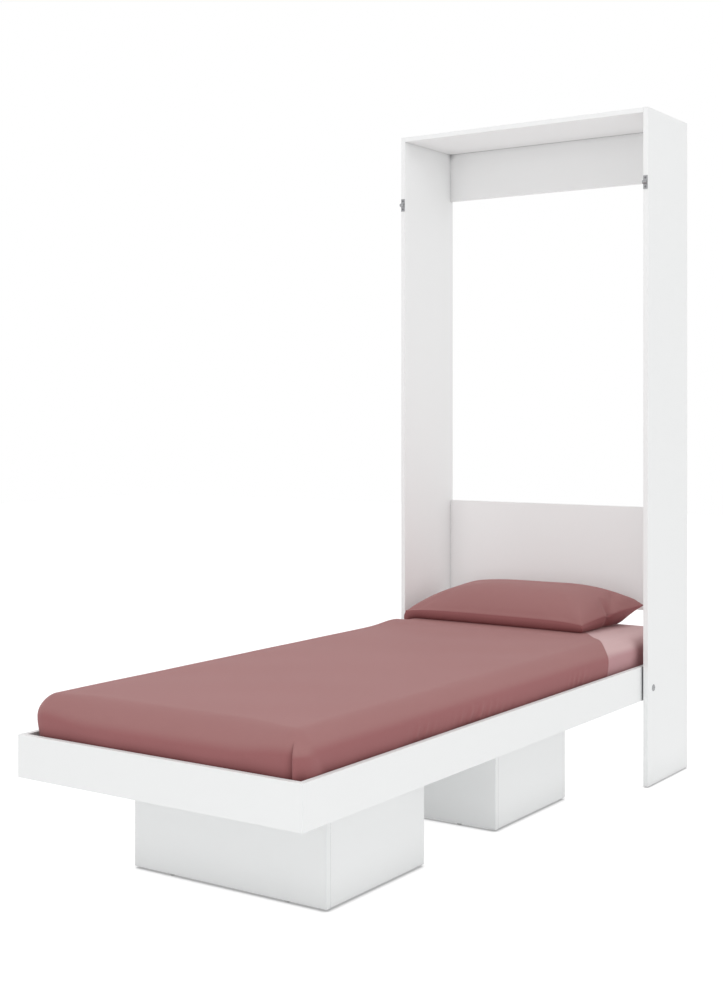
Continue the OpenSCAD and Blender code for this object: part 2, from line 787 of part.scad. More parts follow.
// Barrel bolts under the tray, drawn on the right and mirrored to the left. The
// loop's outline has its first axis pointing down and its second one to the wall.
module loop_outline() {
    difference() {
        union() {
            translate([0, -rod_r - loop_play - loop_t]) square([rod_stand, 2 * (rod_r + loop_play + loop_t)]);
            translate([rod_stand, 0]) circle(r = rod_r + loop_play + loop_t);
        }
        translate([rod_stand, 0]) circle(r = rod_r + loop_play);
        translate([plate_t, -rod_r - loop_play]) square([rod_stand - plate_t, 2 * (rod_r + loop_play)]);
    }
}

plate_screw_xs = [plate_x0 + 8, plate_x1 - 22];
plate_screw_y = bolt_plate_w / 2 - 5;

module bolt_plate() {
    difference() {
        union() {
            translate([plate_x0, bolt_y - bolt_plate_w / 2, bed_z - plate_t])
                cube([bolt_plate_l, bolt_plate_w, plate_t]);
            for (x = [plate_x0 + loop_end, plate_x1 - loop_end - loop_w])
                translate([x, bolt_y, bed_z]) rotate([0, 90, 0]) linear_extrude(loop_w) loop_outline();
        }
        bolt_plate_screws_at() screw_bore(plate_screw_l);
    }
}

module right_bolt_plate() {
    color("silver") bolt_plate();
}

module left_bolt_plate() {
    color("silver") mirror([1, 0, 0]) bolt_plate();
}

module bolt_plate_screws_at() {
    for (s = [-1, 1], x = plate_screw_xs, y = [-1, 1])
        translate([s * x, bolt_y + y * plate_screw_y, bed_z - plate_t]) children();
}

module bolt_plate_screws() {
    color("dimgray") bolt_plate_screws_at() screw(plate_screw_l);
}

// Sliding rod, drawn pulled back, with a cross bore for its knob
module bolt_rod() {
    difference() {
        translate([rod_tip_x - rod_l, bolt_y, rod_z]) rotate([0, 90, 0]) rotate_extrude() polygon([
            [0, 0], [rod_r - 0.5, 0], [rod_r, 0.5], [rod_r, rod_l - 1], [rod_r - 1, rod_l], [0, rod_l]]);
        translate([knob_x, bolt_y, rod_z - rod_r - 1]) cylinder(h = rod_r + 1, r = knob_pin_r + fit_gap);
    }
}

// Knob: a pin in the rod, a neck and a rounded head
module bolt_knob() {
    translate([knob_x, bolt_y, rod_z]) rotate([180, 0, 0]) rotate_extrude() polygon(concat(
        [[0, 0.2], [knob_pin_r, 0.2], [knob_pin_r, rod_r + 0.2], [2.5, rod_r + 0.6], [2.2, rod_r + 2]],
        arc(knob_r - 2, rod_r + 5, 2, -60, 90, 6), [[0, rod_r + 7]]));
}

module right_bolt_rod() {
    color("lightgray") bolt_rod();
}

module left_bolt_rod() {
    color("lightgray") mirror([1, 0, 0]) bolt_rod();
}

module right_bolt_knob() {
    color("lightgray") bolt_knob();
}

module left_bolt_knob() {
    color("lightgray") mirror([1, 0, 0]) bolt_knob();
}

// Bedding. A ring runs round the mattress, counter-clockwise seen from above, at a
// distance inside its sides; a skin is a stack of rings at a distance off its surface.
corner_n = 6;
edge_n = 4;

function ring_corner(sx, sy, inset, a0) = let (
    r = max(mattress_corner_r - inset, 3),
    cx = sx * (mattress_x - inset - r),
    cy = mattress_mid_y + sy * (mattress_l / 2 - inset - r))
    arc(cx, cy, r, a0, a0 + 90, corner_n);
function ring(inset, z) = [for (p = concat(
    ring_corner(1, -1, inset, -90), ring_corner(1, 1, inset, 0),
    ring_corner(-1, 1, inset, 90), ring_corner(-1, -1, inset, 180))) [p.x, p.y, z]];
function top_edge(off) = [for (k = [0:edge_n]) let (a = 90 * k / edge_n)
    [mattress_top_r - (mattress_top_r + off) * cos(a),
        mattress_top - mattress_top_r + (mattress_top_r + off) * sin(a)]];
function bottom_edge() = [for (k = [0:edge_n]) let (a = -90 + 90 * k / edge_n)
    [mattress_bottom_r * (1 - cos(a)), base_top + mattress_bottom_r * (1 + sin(a))]];
ring_n = 4 * (corner_n + 1);

// Triangles between ring j and the next one, the first ring's number being given
function wall_faces(n, rings, first, flip) = [for (j = [0:rings - 2], i = [0:n - 1])
    let (k = (i + 1) % n, a = first + j * n + i, b = first + j * n + k)
    each flip ? [[a, b + n, a + n], [a, b, b + n]] : [[a, a + n, b + n], [a, b + n, b]]];
function cap_faces(n, first, flip) = [for (i = [1:n - 2])
    flip ? [first, first + i, first + i + 1] : [first, first + i + 1, first + i]];

module mattress() {
    rings = concat(bottom_edge(), top_edge(0));
    points = [for (p = rings) each ring(p[0], p[1])];
    color("linen") polyhedron(points, concat(
        wall_faces(ring_n, len(rings), 0, false),
        cap_faces(ring_n, 0, true),
        cap_faces(ring_n, (len(rings) - 1) * ring_n, false)), convexity = 4);
}

// Fitted sheet: closed over the top and all round, open underneath
module fitted_sheet() {
    outer = concat([[-sheet_out, skin_low]], top_edge(sheet_out));
    inner = concat([[-sheet_in, skin_low]], top_edge(sheet_in));
    rings = len(outer);
    inside = rings * ring_n;
    color("pink") polyhedron(
        [for (p = concat(outer, inner)) each ring(p[0], p[1])],
        concat(
            wall_faces(ring_n, rings, 0, false),
            cap_faces(ring_n, (rings - 1) * ring_n, false),
            wall_faces(ring_n, rings, inside, true),
            cap_faces(ring_n, inside + (rings - 1) * ring_n, true),
            [for (i = [0:ring_n - 1]) let (k = (i + 1) % ring_n)
                each [[i, k, inside + k], [i, inside + k, inside + i]]]),
        convexity = 6);
}

// Bedspread: a cloth laid over the foot end and tucked in along three sides. Each row
// runs from the right hem round the foot to the left hem, and the rows climb from the
// rails to the middle line of the top.
side_n = 12;
foot_n = 8;
gather = 2.2;
corner_fold = 7;
row_half = side_n + corner_n + foot_n / 2;
row_n = 2 * row_half + 1;

// Where the hem lies, measured along the cloth from the middle line: straight under the
// pillow, then swept back on the right, and less and later on the left
function hem_y(inset, z, left) = let (
    u = (mattress_x - inset + mattress_top - z) / mattress_x,
    k = min(1, max(0, left ? (u - 0.9) / 0.35 : (u - 0.385) / 0.692)))
    spread_head_y - spread_sweep * (left ? 0.4 : 1) * k * k * (3 - 2 * k);
// How far a row stands off the mattress's side: gathers by the rails, a fold at each corner
function slack(i, z) = let (
    low = min(1, max(0, (mattress_top - 20 - z) / (mattress_t - 30))),
    fold = corner_fold * pow(cos(90 * min(1, abs(i - side_n - corner_n / 2) / 2)), 2),
    pleat = i > 0 && i < side_n ? gather * pow(sin(i * 77), 2) : 0)
    low * (fold + pleat);
// Point i of a half row, from the right hem to the middle of the foot end
function half_point(i, inset, z, left) = let (
    hem = hem_y(inset, z, left),
    r = max(mattress_corner_r - inset, 3),
    s = min(i, row_half),
    d = inset - slack(s, z),
    x1 = mattress_x - d,
    y1 = mattress_foot_y + d,
    cy = mattress_foot_y + inset + r,
    cx = mattress_x - inset - r,
    a = -90 * (s - side_n) / corner_n,
    rr = r + inset - d)
    s <= side_n ? [x1, hem + (cy - hem) * s / side_n, z]
    : s <= side_n + corner_n ? [cx + rr * cos(a), cy + rr * sin(a), z]
    : [cx * (row_half - s) / (foot_n / 2), y1, z];
function row_point(i, inset, z) = i <= row_half ? half_point(i, inset, z, false)
    : let (p = half_point(row_n - 1 - i, inset, z, true)) [-p.x, p.y, p.z];

function spread_rows(off) = concat(
    [[-off, skin_low], [-off, rail_top + 5]], top_edge(off), [[mattress_x * 0.45, mattress_top + off]]);
function spine_point(i, off) = let (end_y = mattress_foot_y + mattress_x)
    [0, spread_head_y + (end_y - spread_head_y) * i / side_n, mattress_top + off];
function spread_points(off) = concat(
    [for (p = spread_rows(off), i = [0:row_n - 1]) row_point(i, p[0], p[1])],
    [for (i = [0:side_n]) spine_point(i, off)]);

rows = len(spread_rows(0));
skin_points = rows * row_n + side_n + 1;
function spine_index(i) = rows * row_n
    + (i <= side_n ? i : i >= row_n - 1 - side_n ? row_n - 1 - i : side_n);
function turned(faces, flip) = [for (f = faces) flip ? [f[0], f[2], f[1]] : f];
function shifted(faces, by) = [for (f = faces) [f[0] + by, f[1] + by, f[2] + by]];
// The rows run clockwise seen from above, from the right hem round the foot
skin_faces = concat(
    [for (j = [0:rows - 2], i = [0:row_n - 2]) let (a = j * row_n + i)
        each [[a, a + 1, a + 1 + row_n], [a, a + 1 + row_n, a + row_n]]],
    [for (i = [0:row_n - 2]) let (a = (rows - 1) * row_n + i)
        each spine_index(i) == spine_index(i + 1) ? [[a, a + 1, spine_index(i)]]
            : [[a, a + 1, spine_index(i + 1)], [a, spine_index(i + 1), spine_index(i)]]]);
// The hem all round the cloth: along the bottom, then up and over at the head end
rim = concat(
    [for (i = [0:row_n - 1]) i],
    [for (j = [1:rows - 1]) j * row_n + row_n - 1],
    [spine_index(0)],
    [for (j = [rows - 1:-1:1]) j * row_n]);

module bedspread() {
    rim_faces = [for (k = [0:len(rim) - 1]) let (a = rim[k], b = rim[(k + 1) % len(rim)])
        each [[a, a + skin_points, b + skin_points], [a, b + skin_points, b]]];
    color("rosybrown") polyhedron(
        concat(spread_points(spread_out), spread_points(spread_in)),
        concat(skin_faces, turned(shifted(skin_faces, skin_points), true), rim_faces),
        convexity = 8);
}

// Pillow: two panels joined in a seam, with drawn-in sides and pointed corners. Its
// underside is flat where it rests on the bedspread.
pillow_nu = 18;
pillow_nv = 12;
pillow_rest = mattress_top + spread_out + skin_gap;
seam_front_h = 30;
seam_back_h = 50;
tip_lift = 8;
pillow_back_y = mattress_head_y - pillow_back;

function pillow_half_w(v) = (pillow_w - pillow_taper * (1 - v) / 2) / 2;
function pillow_plan(u, v) = [
    -pillow_shift - pillow_skew * (1 - v) / 2 + pillow_half_w(v) * u * (1 - 0.05 * (1 - v * v)),
    pillow_back_y - pillow_d / 2 + pillow_d / 2 * v * (1 - 0.05 * (1 - u * u))];
function seam_h(u, v) = seam_front_h + (seam_back_h - seam_front_h) * (1 + v) / 2
    + tip_lift * v * pow(abs(u), 6);
function fill(u, v, p) = pow((1 - pow(abs(u), 2.7)) * (1 - pow(abs(v), 3.2)), p);
function pillow_top(u, v) = let (p = pillow_plan(u, v))
    [p.x, p.y, pillow_rest + seam_h(u, v) + (pillow_h - seam_h(0, 0)) * fill(u, v, 0.65)];
function pillow_under(u, v) = let (p = pillow_plan(u, v))
    [p.x, p.y, pillow_rest + seam_h(u, v) * (1 - min(1, 2.2 * fill(u, v, 0.5)))];
function on_seam(i, j) = i == 0 || i == pillow_nu || j == 0 || j == pillow_nv;
function top_index(i, j) = j * (pillow_nu + 1) + i;
function under_index(i, j) = on_seam(i, j) ? top_index(i, j)
    : (pillow_nu + 1) * (pillow_nv + 1) + (j - 1) * (pillow_nu - 1) + i - 1;
// Two triangles of a cell, cut on the diagonal that runs towards the nearest corner
function cell(a, b, c, d, main) = main ? [[a, d, c], [a, c, b]] : [[a, d, b], [d, c, b]];

module pillow() {
    us = [for (i = [0:pillow_nu]) sin(90 * (2 * i / pillow_nu - 1))];
    vs = [for (j = [0:pillow_nv]) sin(90 * (2 * j / pillow_nv - 1))];
    points = concat(
        [for (v = vs, u = us) pillow_top(u, v)],
        [for (j = [1:pillow_nv - 1], i = [1:pillow_nu - 1]) pillow_under(us[i], vs[j])]);
    cells = [for (j = [0:pillow_nv - 1], i = [0:pillow_nu - 1]) [i, j]];
    top_faces = [for (c = cells) let (i = c[0], j = c[1])
        each cell(top_index(i, j), top_index(i + 1, j), top_index(i + 1, j + 1), top_index(i, j + 1),
            (i < pillow_nu / 2) == (j < pillow_nv / 2))];
    under_faces = [for (c = cells) let (i = c[0], j = c[1])
        each cell(under_index(i, j), under_index(i + 1, j), under_index(i + 1, j + 1),
            under_index(i, j + 1), (i < pillow_nu / 2) == (j < pillow_nv / 2))];
    color("rosybrown") polyhedron(points, concat(top_faces, turned(under_faces, true)), convexity = 4);
}

left_side_panel();
right_side_panel();
top_panel();
top_back_rail();
lower_back_panel();
cabinet_glides();
cabinet_cams();
cabinet_cam_bolts();
cabinet_dowels();
wall_brackets();
wall_bracket_screws();
bolt_keepers();
keeper_screws();
pivot_sleeves();
pivot_screws();
pivot_spacers();
pivot_bushes();
left_bed_rail();
right_bed_rail();
footboard();
head_rail();
foot_base_panel();
head_base_panel();
tray_cams();
tray_cam_bolts();
tray_dowels();
front_box_front_wall();
front_box_back_wall();
front_box_left_wall();
front_box_right_wall();
rear_box_front_wall();
rear_box_back_wall();
rear_box_left_wall();
rear_box_right_wall();
box_cams();
box_cam_bolts();
box_dowels();
box_brackets();
box_bracket_screws();
box_glides();
left_bolt_plate();
right_bolt_plate();
bolt_plate_screws();
left_bolt_rod();
left_bolt_knob();
right_bolt_rod();
right_bolt_knob();
mattress();
fitted_sheet();
bedspread();
pillow();
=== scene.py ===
# %% [markdown]
# # A single wall bed, dressed
# This lesson dresses a wall bed that is already built to size: white boards, a tray that folds
# up into a shallow cabinet, and two boxes that it stands on. The boards and the fittings come
# from the frame and stay where they are. What is made here is what a drawing of boards can't
# hold: the finish of every surface, the mattress, the cloth on it and the pillow.

import bpy
import json
import math
import numpy as np
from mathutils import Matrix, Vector


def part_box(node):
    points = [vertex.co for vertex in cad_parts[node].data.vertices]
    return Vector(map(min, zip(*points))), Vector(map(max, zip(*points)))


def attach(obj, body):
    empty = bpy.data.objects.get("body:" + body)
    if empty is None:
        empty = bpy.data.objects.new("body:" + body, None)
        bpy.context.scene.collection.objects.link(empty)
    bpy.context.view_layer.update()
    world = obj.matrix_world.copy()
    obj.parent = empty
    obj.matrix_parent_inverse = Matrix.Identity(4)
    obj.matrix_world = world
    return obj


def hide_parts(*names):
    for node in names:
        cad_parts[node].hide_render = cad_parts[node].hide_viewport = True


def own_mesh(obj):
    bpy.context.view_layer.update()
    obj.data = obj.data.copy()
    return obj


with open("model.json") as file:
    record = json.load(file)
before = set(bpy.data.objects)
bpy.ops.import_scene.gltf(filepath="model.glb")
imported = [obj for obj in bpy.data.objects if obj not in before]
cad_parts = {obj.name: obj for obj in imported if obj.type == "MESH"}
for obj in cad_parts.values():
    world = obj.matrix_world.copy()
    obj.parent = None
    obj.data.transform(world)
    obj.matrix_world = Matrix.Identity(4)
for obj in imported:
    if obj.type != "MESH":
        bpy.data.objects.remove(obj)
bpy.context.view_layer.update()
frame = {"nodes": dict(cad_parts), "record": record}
nodes = frame["nodes"]

# %% [markdown]
# ## The camera
# The picture was taken from the right of the foot end, at about the height of a desk. The
# verticals are parallel in it, so the camera looks level, and the frame is shifted down
# instead of tilted, as an architect's camera does. Focal length and shift are given in pixels
# of the picture, which is how they were measured, and turned into the camera's units here.

# %% The camera at the picture's own viewpoint
PICTURE_W = 723
PICTURE_H = 1007
FOCAL_PX = 1462.3
AXIS_PX = (386.0, 416.9)
SENSOR_MM = 36.0
CAMERA_PLACE = (2.1858, -3.3169, 1.0890)
CAMERA_TURN = 33.857

camera_data = bpy.data.cameras.new("picture_camera")
camera_data.sensor_width = SENSOR_MM
camera_data.lens = SENSOR_MM * FOCAL_PX / PICTURE_H
camera_data.shift_x = (PICTURE_W / 2 - AXIS_PX[0]) / PICTURE_H
camera_data.shift_y = (AXIS_PX[1] - PICTURE_H / 2) / PICTURE_H
camera_data.clip_end = 60
camera = bpy.data.objects.new("picture_camera", camera_data)
camera.location = CAMERA_PLACE
camera.rotation_euler = (math.radians(90), 0, math.radians(CAMERA_TURN))
bpy.context.scene.collection.objects.link(camera)
bpy.context.scene.camera = camera
print("lens", round(camera_data.lens, 2), "mm")

# %% [markdown]
# ## Small helpers for node materials
# Every finish below is a node tree. These helpers keep the trees short to read. One adds a node
# and sets its inputs, and the next ones do the same for the nodes used most: a sum, a blend of
# two colours, a noise and a bump.

# %% Node helpers
WHITE = (1, 1, 1, 1)


def add_node(tree, kind, inputs=None, **settings):
    node = tree.nodes.new(kind)
    for key, value in settings.items():
        setattr(node, key, value)
    for key, value in (inputs or {}).items():
        if isinstance(value, bpy.types.NodeSocket):
            tree.links.new(value, node.inputs[key])
        else:
            node.inputs[key].default_value = value
    return node


def calc(tree, operation, *values, clamp=False):
    """The result of one sum on these numbers or sockets."""
    node = add_node(tree, "ShaderNodeMath", dict(enumerate(values)), operation=operation,
                    use_clamp=clamp)
    return node.outputs[0]


def blend(tree, share, first, second, **settings):
    """The first colour, which goes over to the second as share rises to 1."""
    node = add_node(tree, "ShaderNodeMix", {0: share, 6: first, 7: second}, data_type="RGBA",
                    **settings)
    return node.outputs[2]


def noise(tree, place, scale, detail, roughness=0.5):
    node = add_node(tree, "ShaderNodeTexNoise", {"Vector": place, "Scale": scale,
                    "Detail": detail, "Roughness": roughness})
    return node.outputs["Fac"]


def add_bump(tree, shader, height, strength, depth):
    node = add_node(tree, "ShaderNodeBump", {"Height": height, "Strength": strength,
                    "Distance": depth})
    tree.links.new(node.outputs[0], shader.inputs["Normal"])


# %% [markdown]
# A material starts as a Principled shader, and a shader node group is a recipe that several
# materials share, each with its own numbers. Colours are written as they are read off a
# picture, from 0 to 255, and a shader wants them linear, so one helper turns them over.

# %% Materials and groups
FLOAT = "NodeSocketFloat"
COLOUR = "NodeSocketColor"
VECTOR = "NodeSocketVector"


def srgb(red, green, blue):
    """A colour written as 0 to 255 in a picture, as the linear values a shader takes."""
    def one(value):
        value = value / 255
        return value / 12.92 if value <= 0.04045 else ((value + 0.055) / 1.055) ** 2.4
    return (one(red), one(green), one(blue), 1)


def new_material(name):
    material = bpy.data.materials.new(name)
    material.use_nodes = True
    tree = material.node_tree
    shader = next(n for n in tree.nodes if n.type == "BSDF_PRINCIPLED")
    return material, tree, shader


def new_group(name, inputs, outputs):
    """A node group whose sockets are (name, type, default value) and (name, type)."""
    group = bpy.data.node_groups.new(name, "ShaderNodeTree")
    for label, kind, value in inputs:
        socket = group.interface.new_socket(name=label, in_out="INPUT", socket_type=kind)
        if value is not None:
            socket.default_value = value
    for label, kind in outputs:
        group.interface.new_socket(name=label, in_out="OUTPUT", socket_type=kind)
    start = group.nodes.new("NodeGroupInput")
    end = group.nodes.new("NodeGroupOutput")
    return group, start.outputs, end.inputs


def use_group(tree, group, **values):
    node = tree.nodes.new("ShaderNodeGroup")
    node.node_tree = group
    for key, value in values.items():
        socket = node.inputs[key.replace("_", " ")]
        if isinstance(value, bpy.types.NodeSocket):
            tree.links.new(value, socket)
        else:
            socket.default_value = value
    return node


# %% [markdown]
# ## The studio
# The picture shows the bed in a white studio where floor and background melt into one white,
# with only a thin soft shadow where something stands on the floor. The light comes from all
# round, and even the inside of the cabinet is nearly as bright as its outside. So most of the
# light is an even fill that no board holds back, and the rest, a faint sky and two large soft
# lamps, casts the soft shadows. The white itself is painted for the camera only: what lights
# the object is plain, and what the camera sees, straight or in shiny metal, is white.

# %% The sky
SKY_STRENGTH = 0.20


def seen_ray(tree):
    """1 for a ray that the camera sees, straight, mirrored or through glass, and 0 for light."""
    path = add_node(tree, "ShaderNodeLightPath")
    seen = calc(tree, "MAXIMUM", path.outputs["Is Camera Ray"], path.outputs["Is Glossy Ray"])
    return calc(tree, "MAXIMUM", seen, path.outputs["Is Transmission Ray"])


world = bpy.data.worlds.new("studio_sky")
world.use_nodes = True
sky = world.node_tree
sky.nodes.clear()
sky_light = add_node(sky, "ShaderNodeBackground", {"Color": WHITE, "Strength": SKY_STRENGTH})
sky_white = add_node(sky, "ShaderNodeBackground", {"Color": WHITE, "Strength": 1.0})
sky_mix = add_node(sky, "ShaderNodeMixShader", {0: seen_ray(sky), 1: sky_light.outputs[0],
                   2: sky_white.outputs[0]})
add_node(sky, "ShaderNodeOutputWorld", {"Surface": sky_mix.outputs[0]})
bpy.context.scene.world = world
bpy.context.scene.view_settings.view_transform = "Standard"
print("the sky lights at", SKY_STRENGTH, "and is seen white")

# %% [markdown]
# The floor bounces light as a pale floor does. Where the camera sees it, it takes the shadows
# on a grey and adds a glow that brings the open floor to white. Close under the boxes and the
# side panels the glow goes down, a painted shadow that leaves the thin dark line of the picture.

# %% The floor
FLOOR_SIZE = 24.0
FLOOR_BELOW = 0.0005
FLOOR_BOUNCE = 0.85
FLOOR_SHADE = 0.45
FLOOR_WHITE = 0.72
FLOOR_SHADOW_GLOW = 0.24
CONTACT_REACH = 0.022
CONTACT_OPENNESS = (0.30, 0.85)

bpy.ops.object.select_all(action="DESELECT")
bpy.ops.mesh.primitive_plane_add(size=FLOOR_SIZE, location=(0, 0, -FLOOR_BELOW))
floor = bpy.context.object
floor.name = "studio_floor"
floor_material = bpy.data.materials.new("studio_floor")
floor_material.use_nodes = True
tree = floor_material.node_tree
tree.nodes.clear()
bounce = add_node(tree, "ShaderNodeBsdfDiffuse", {"Color": (FLOOR_BOUNCE,) * 3 + (1,)})
shade = add_node(tree, "ShaderNodeBsdfDiffuse", {"Color": (FLOOR_SHADE,) * 3 + (1,)})
# Painted shadow: where the air is closed in under the boxes and side panels, the glow drops and
# paints a thin dark line on the floor.
near = add_node(tree, "ShaderNodeAmbientOcclusion", {"Distance": CONTACT_REACH}, samples=12)
glow = add_node(tree, "ShaderNodeMapRange", {"Value": near.outputs["AO"],
                "From Min": CONTACT_OPENNESS[0], "From Max": CONTACT_OPENNESS[1],
                "To Min": FLOOR_SHADOW_GLOW, "To Max": FLOOR_WHITE})
white = add_node(tree, "ShaderNodeEmission", {"Color": WHITE, "Strength": glow.outputs["Result"]})
shown = add_node(tree, "ShaderNodeAddShader", {0: shade.outputs[0], 1: white.outputs[0]})
mixed = add_node(tree, "ShaderNodeMixShader", {0: seen_ray(tree), 1: bounce.outputs[0],
                 2: shown.outputs[0]})
add_node(tree, "ShaderNodeOutputMaterial", {"Surface": mixed.outputs[0]})
floor.data.materials.append(floor_material)
print("floor", FLOOR_SIZE, "m wide")

# %% [markdown]
# A soft lamp is a large lit disk. The even fill is a ring of suns from all sides that cast no
# shadow. Their directions are laid on a spiral, which spreads any number of points evenly over
# a ball.

# %% The lamps
# place, aim, width in metres, power in watts
KEY_LAMP = ((1.2, -3.2, 5.2), (0, 0, 0.4), 3.0, 54)
SIDE_LAMP = ((4.5, -0.5, 2.6), (0, 0, 0.6), 2.5, 8)
FILL_LAMPS = 16
FILL_SHARE = 0.645
FILL_WIDTH = math.radians(60)


def add_lamp(name, kind, power, turn):
    lamp = bpy.data.lights.new(name, kind)
    lamp.energy = power
    lamp_object = bpy.data.objects.new(name, lamp)
    lamp_object.rotation_euler = turn
    bpy.context.scene.collection.objects.link(lamp_object)
    return lamp, lamp_object


def soft_lamp(name, location, target, size, power):
    direction = Vector(target) - Vector(location)
    lamp, lamp_object = add_lamp(name, "AREA", power, direction.to_track_quat("-Z", "Y").to_euler())
    lamp.shape = "DISK"
    lamp.size = size
    lamp_object.location = location


def fill_lamp(name, direction, strength):
    """A sun that shines from one direction and casts no shadow."""
    lamp, lamp_object = add_lamp(name, "SUN", strength,
                                 Vector(direction).to_track_quat("Z", "Y").to_euler())
    lamp.angle = FILL_WIDTH
    lamp.use_shadow = False
    lamp_object.visible_glossy = False


soft_lamp("key_lamp", *KEY_LAMP)
soft_lamp("side_lamp", *SIDE_LAMP)
golden_turn = math.pi * (3 - math.sqrt(5))
for index in range(FILL_LAMPS):
    rise = 1 - 2 * (index + 0.5) / FILL_LAMPS
    level = math.sqrt(1 - rise * rise)
    fill_lamp(f"fill_{index}", (level * math.cos(golden_turn * index),
              level * math.sin(golden_turn * index), rise), FILL_SHARE * 4 * math.pi / FILL_LAMPS)
print("two soft lamps and", FILL_LAMPS, "fill lamps")

# %% [markdown]
# ## White melamine board
# The cabinet, the tray and the boxes are particle board faced with white melamine. Such a
# face isn't quite smooth: the press leaves a fine skin like very fine leather, which only shows
# in how a highlight breaks up. The tone drifts a little over a board, and handled edges are
# slightly duller. A flat white would look like paper, so all three are added, each faintly.

# %% The skin of a pressed board, as a group
pressed_skin, given, result = new_group(
    "pressed_skin",
    [("Skin Size", FLOAT, 900.0), ("Skin Depth", FLOAT, 0.06), ("Drift", FLOAT, 0.012),
     ("Colour", COLOUR, (0.8, 0.8, 0.8, 1)), ("Roughness", FLOAT, 0.4)],
    [("Colour", COLOUR), ("Roughness", FLOAT), ("Height", FLOAT)])
tree = pressed_skin
place = add_node(tree, "ShaderNodeTexCoord").outputs["Object"]
slow = noise(tree, place, 2.2, 3.0)
fine = noise(tree, place, given["Skin Size"], 2.0, 0.6)
drift = calc(tree, "MULTIPLY", calc(tree, "SUBTRACT", slow, 0.5), given["Drift"])
toned = add_node(tree, "ShaderNodeVectorMath", {0: given["Colour"],
                 1: calc(tree, "ADD", drift, 1.0)}, operation="MULTIPLY")
tree.links.new(toned.outputs[0], result["Colour"])
tree.links.new(calc(tree, "MULTIPLY_ADD", fine, 0.10, given["Roughness"]), result["Roughness"])
tree.links.new(calc(tree, "MULTIPLY", fine, given["Skin Depth"]), result["Height"])
print("group", pressed_skin.name, "with", len(tree.nodes), "nodes")

# %% [markdown]
# Edge wear is the second recipe. A Bevel node tells where the surface turns: inside a small
# radius of an edge its normal leans away from the true one. How far it leans is a mask for
# anything that happens at edges: rubbed metal, dulled board, a lighter seam in cloth.

# %% The edge mask, as a group
edge_mask, given, result = new_group(
    "edge_mask", [("Radius", FLOAT, 0.001), ("Strength", FLOAT, 1.0)], [("Mask", FLOAT)])
tree = edge_mask
lean = add_node(tree, "ShaderNodeBevel", {"Radius": given["Radius"]}, samples=6)
true_normal = add_node(tree, "ShaderNodeNewGeometry")
same = add_node(tree, "ShaderNodeVectorMath", {0: lean.outputs[0],
                1: true_normal.outputs["Normal"]}, operation="DOT_PRODUCT")
away = calc(tree, "SUBTRACT", 1.0, same.outputs["Value"], clamp=True)
mask = calc(tree, "MULTIPLY", away, given["Strength"], clamp=True)
tree.links.new(mask, result["Mask"])
print("group", edge_mask.name, "with", len(tree.nodes), "nodes")

# %% [markdown]
# The third recipe is painted shade where two surfaces come close, as in the cabinet's inner
# corners, just above the floor and in the folds of cloth. In so even a light a renderer leaves
# such places flat, while a real corner holds some shade, so that shade is painted into the
# colour: an Ambient Occlusion node measures how open the air is within a short reach, and the
# colour is darkened by that. It reads only the shapes, so it stays in place from every side.

# %% Painted shade where surfaces come close
def painted_contact_shade(tree, colour, reach, openness, darkest):
    """The colour with painted shade, darker where the air within reach is closed in: openness is
    the share of open air that gives the darkest and the one that leaves the colour alone."""
    air = add_node(tree, "ShaderNodeAmbientOcclusion", {"Distance": reach}, samples=8)
    share = add_node(tree, "ShaderNodeMapRange", {"Value": air.outputs["AO"],
                     "From Min": openness[0], "From Max": openness[1]})
    shade = blend(tree, share.outputs["Result"], darkest, WHITE)
    return blend(tree, 1.0, colour, shade, blend_type="MULTIPLY")


# %% White board
BOARD_WHITE = srgb(237, 238, 238)
BOARD_EDGE = srgb(222, 222, 222)
# reach and darkest colour of the painted shade in narrow gaps and in wide corners
GAP_SHADE_REACH = 0.030
GAP_SHADE_DARK = (0.30, 0.30, 0.31, 1)
CORNER_SHADE_REACH = 0.090
CORNER_SHADE_DARK = (0.90, 0.90, 0.90, 1)

white_board, tree, shader = new_material("white_board")
skin = use_group(tree, pressed_skin, Colour=BOARD_WHITE, Roughness=0.48)
edges = use_group(tree, edge_mask, Radius=0.0012, Strength=1.6)
edge_share = calc(tree, "MULTIPLY", edges.outputs["Mask"], 0.5)
tint_and_shade = blend(tree, edge_share, skin.outputs["Colour"], BOARD_EDGE)
# Painted shade: the colour is darkened in the narrow gaps between boards and, more widely, in the
# inner corners and just above the floor.
tint_and_shade = painted_contact_shade(tree, tint_and_shade, GAP_SHADE_REACH, (0.16, 0.60), GAP_SHADE_DARK)
tint_and_shade = painted_contact_shade(tree, tint_and_shade, CORNER_SHADE_REACH, (0.45, 0.95), CORNER_SHADE_DARK)
tree.links.new(tint_and_shade, shader.inputs["Base Color"])
tree.links.new(skin.outputs["Roughness"], shader.inputs["Roughness"])
add_bump(tree, shader, skin.outputs["Height"], 0.35, 0.0004)
shader.inputs["Specular IOR Level"].default_value = 0.25
print("white board from", len(tree.nodes), "nodes")

# %% [markdown]
# ## Metal, plastic and wood of the fittings
# The keepers, bolts and brackets are zinc-plated steel, cold grey and a little mottled. The cam
# bolts are yellow-passivated, the cams are cast zinc with a dull skin, and the screws are dark.
# One recipe serves them all: a slow mottle in colour and gloss, and rubbed edges that are
# brighter. Plastic takes the pressed skin from above, and beech gets its own stretched grain.

# %% Metal finishes
RUBBED_RADIUS = 0.0006


def metal(name, colour, roughness, mottle, mottle_size, rubbed):
    material, tree, shader = new_material(name)
    skin = use_group(tree, pressed_skin, Colour=colour, Roughness=roughness, Drift=mottle,
                     Skin_Size=mottle_size, Skin_Depth=0.2)
    edges = use_group(tree, edge_mask, Radius=RUBBED_RADIUS, Strength=1.4)
    bright = blend(tree, edges.outputs["Mask"], skin.outputs["Colour"], rubbed)
    tree.links.new(bright, shader.inputs["Base Color"])
    tree.links.new(skin.outputs["Roughness"], shader.inputs["Roughness"])
    add_bump(tree, shader, skin.outputs["Height"], 0.25, 0.0002)
    shader.inputs["Metallic"].default_value = 1.0
    return material


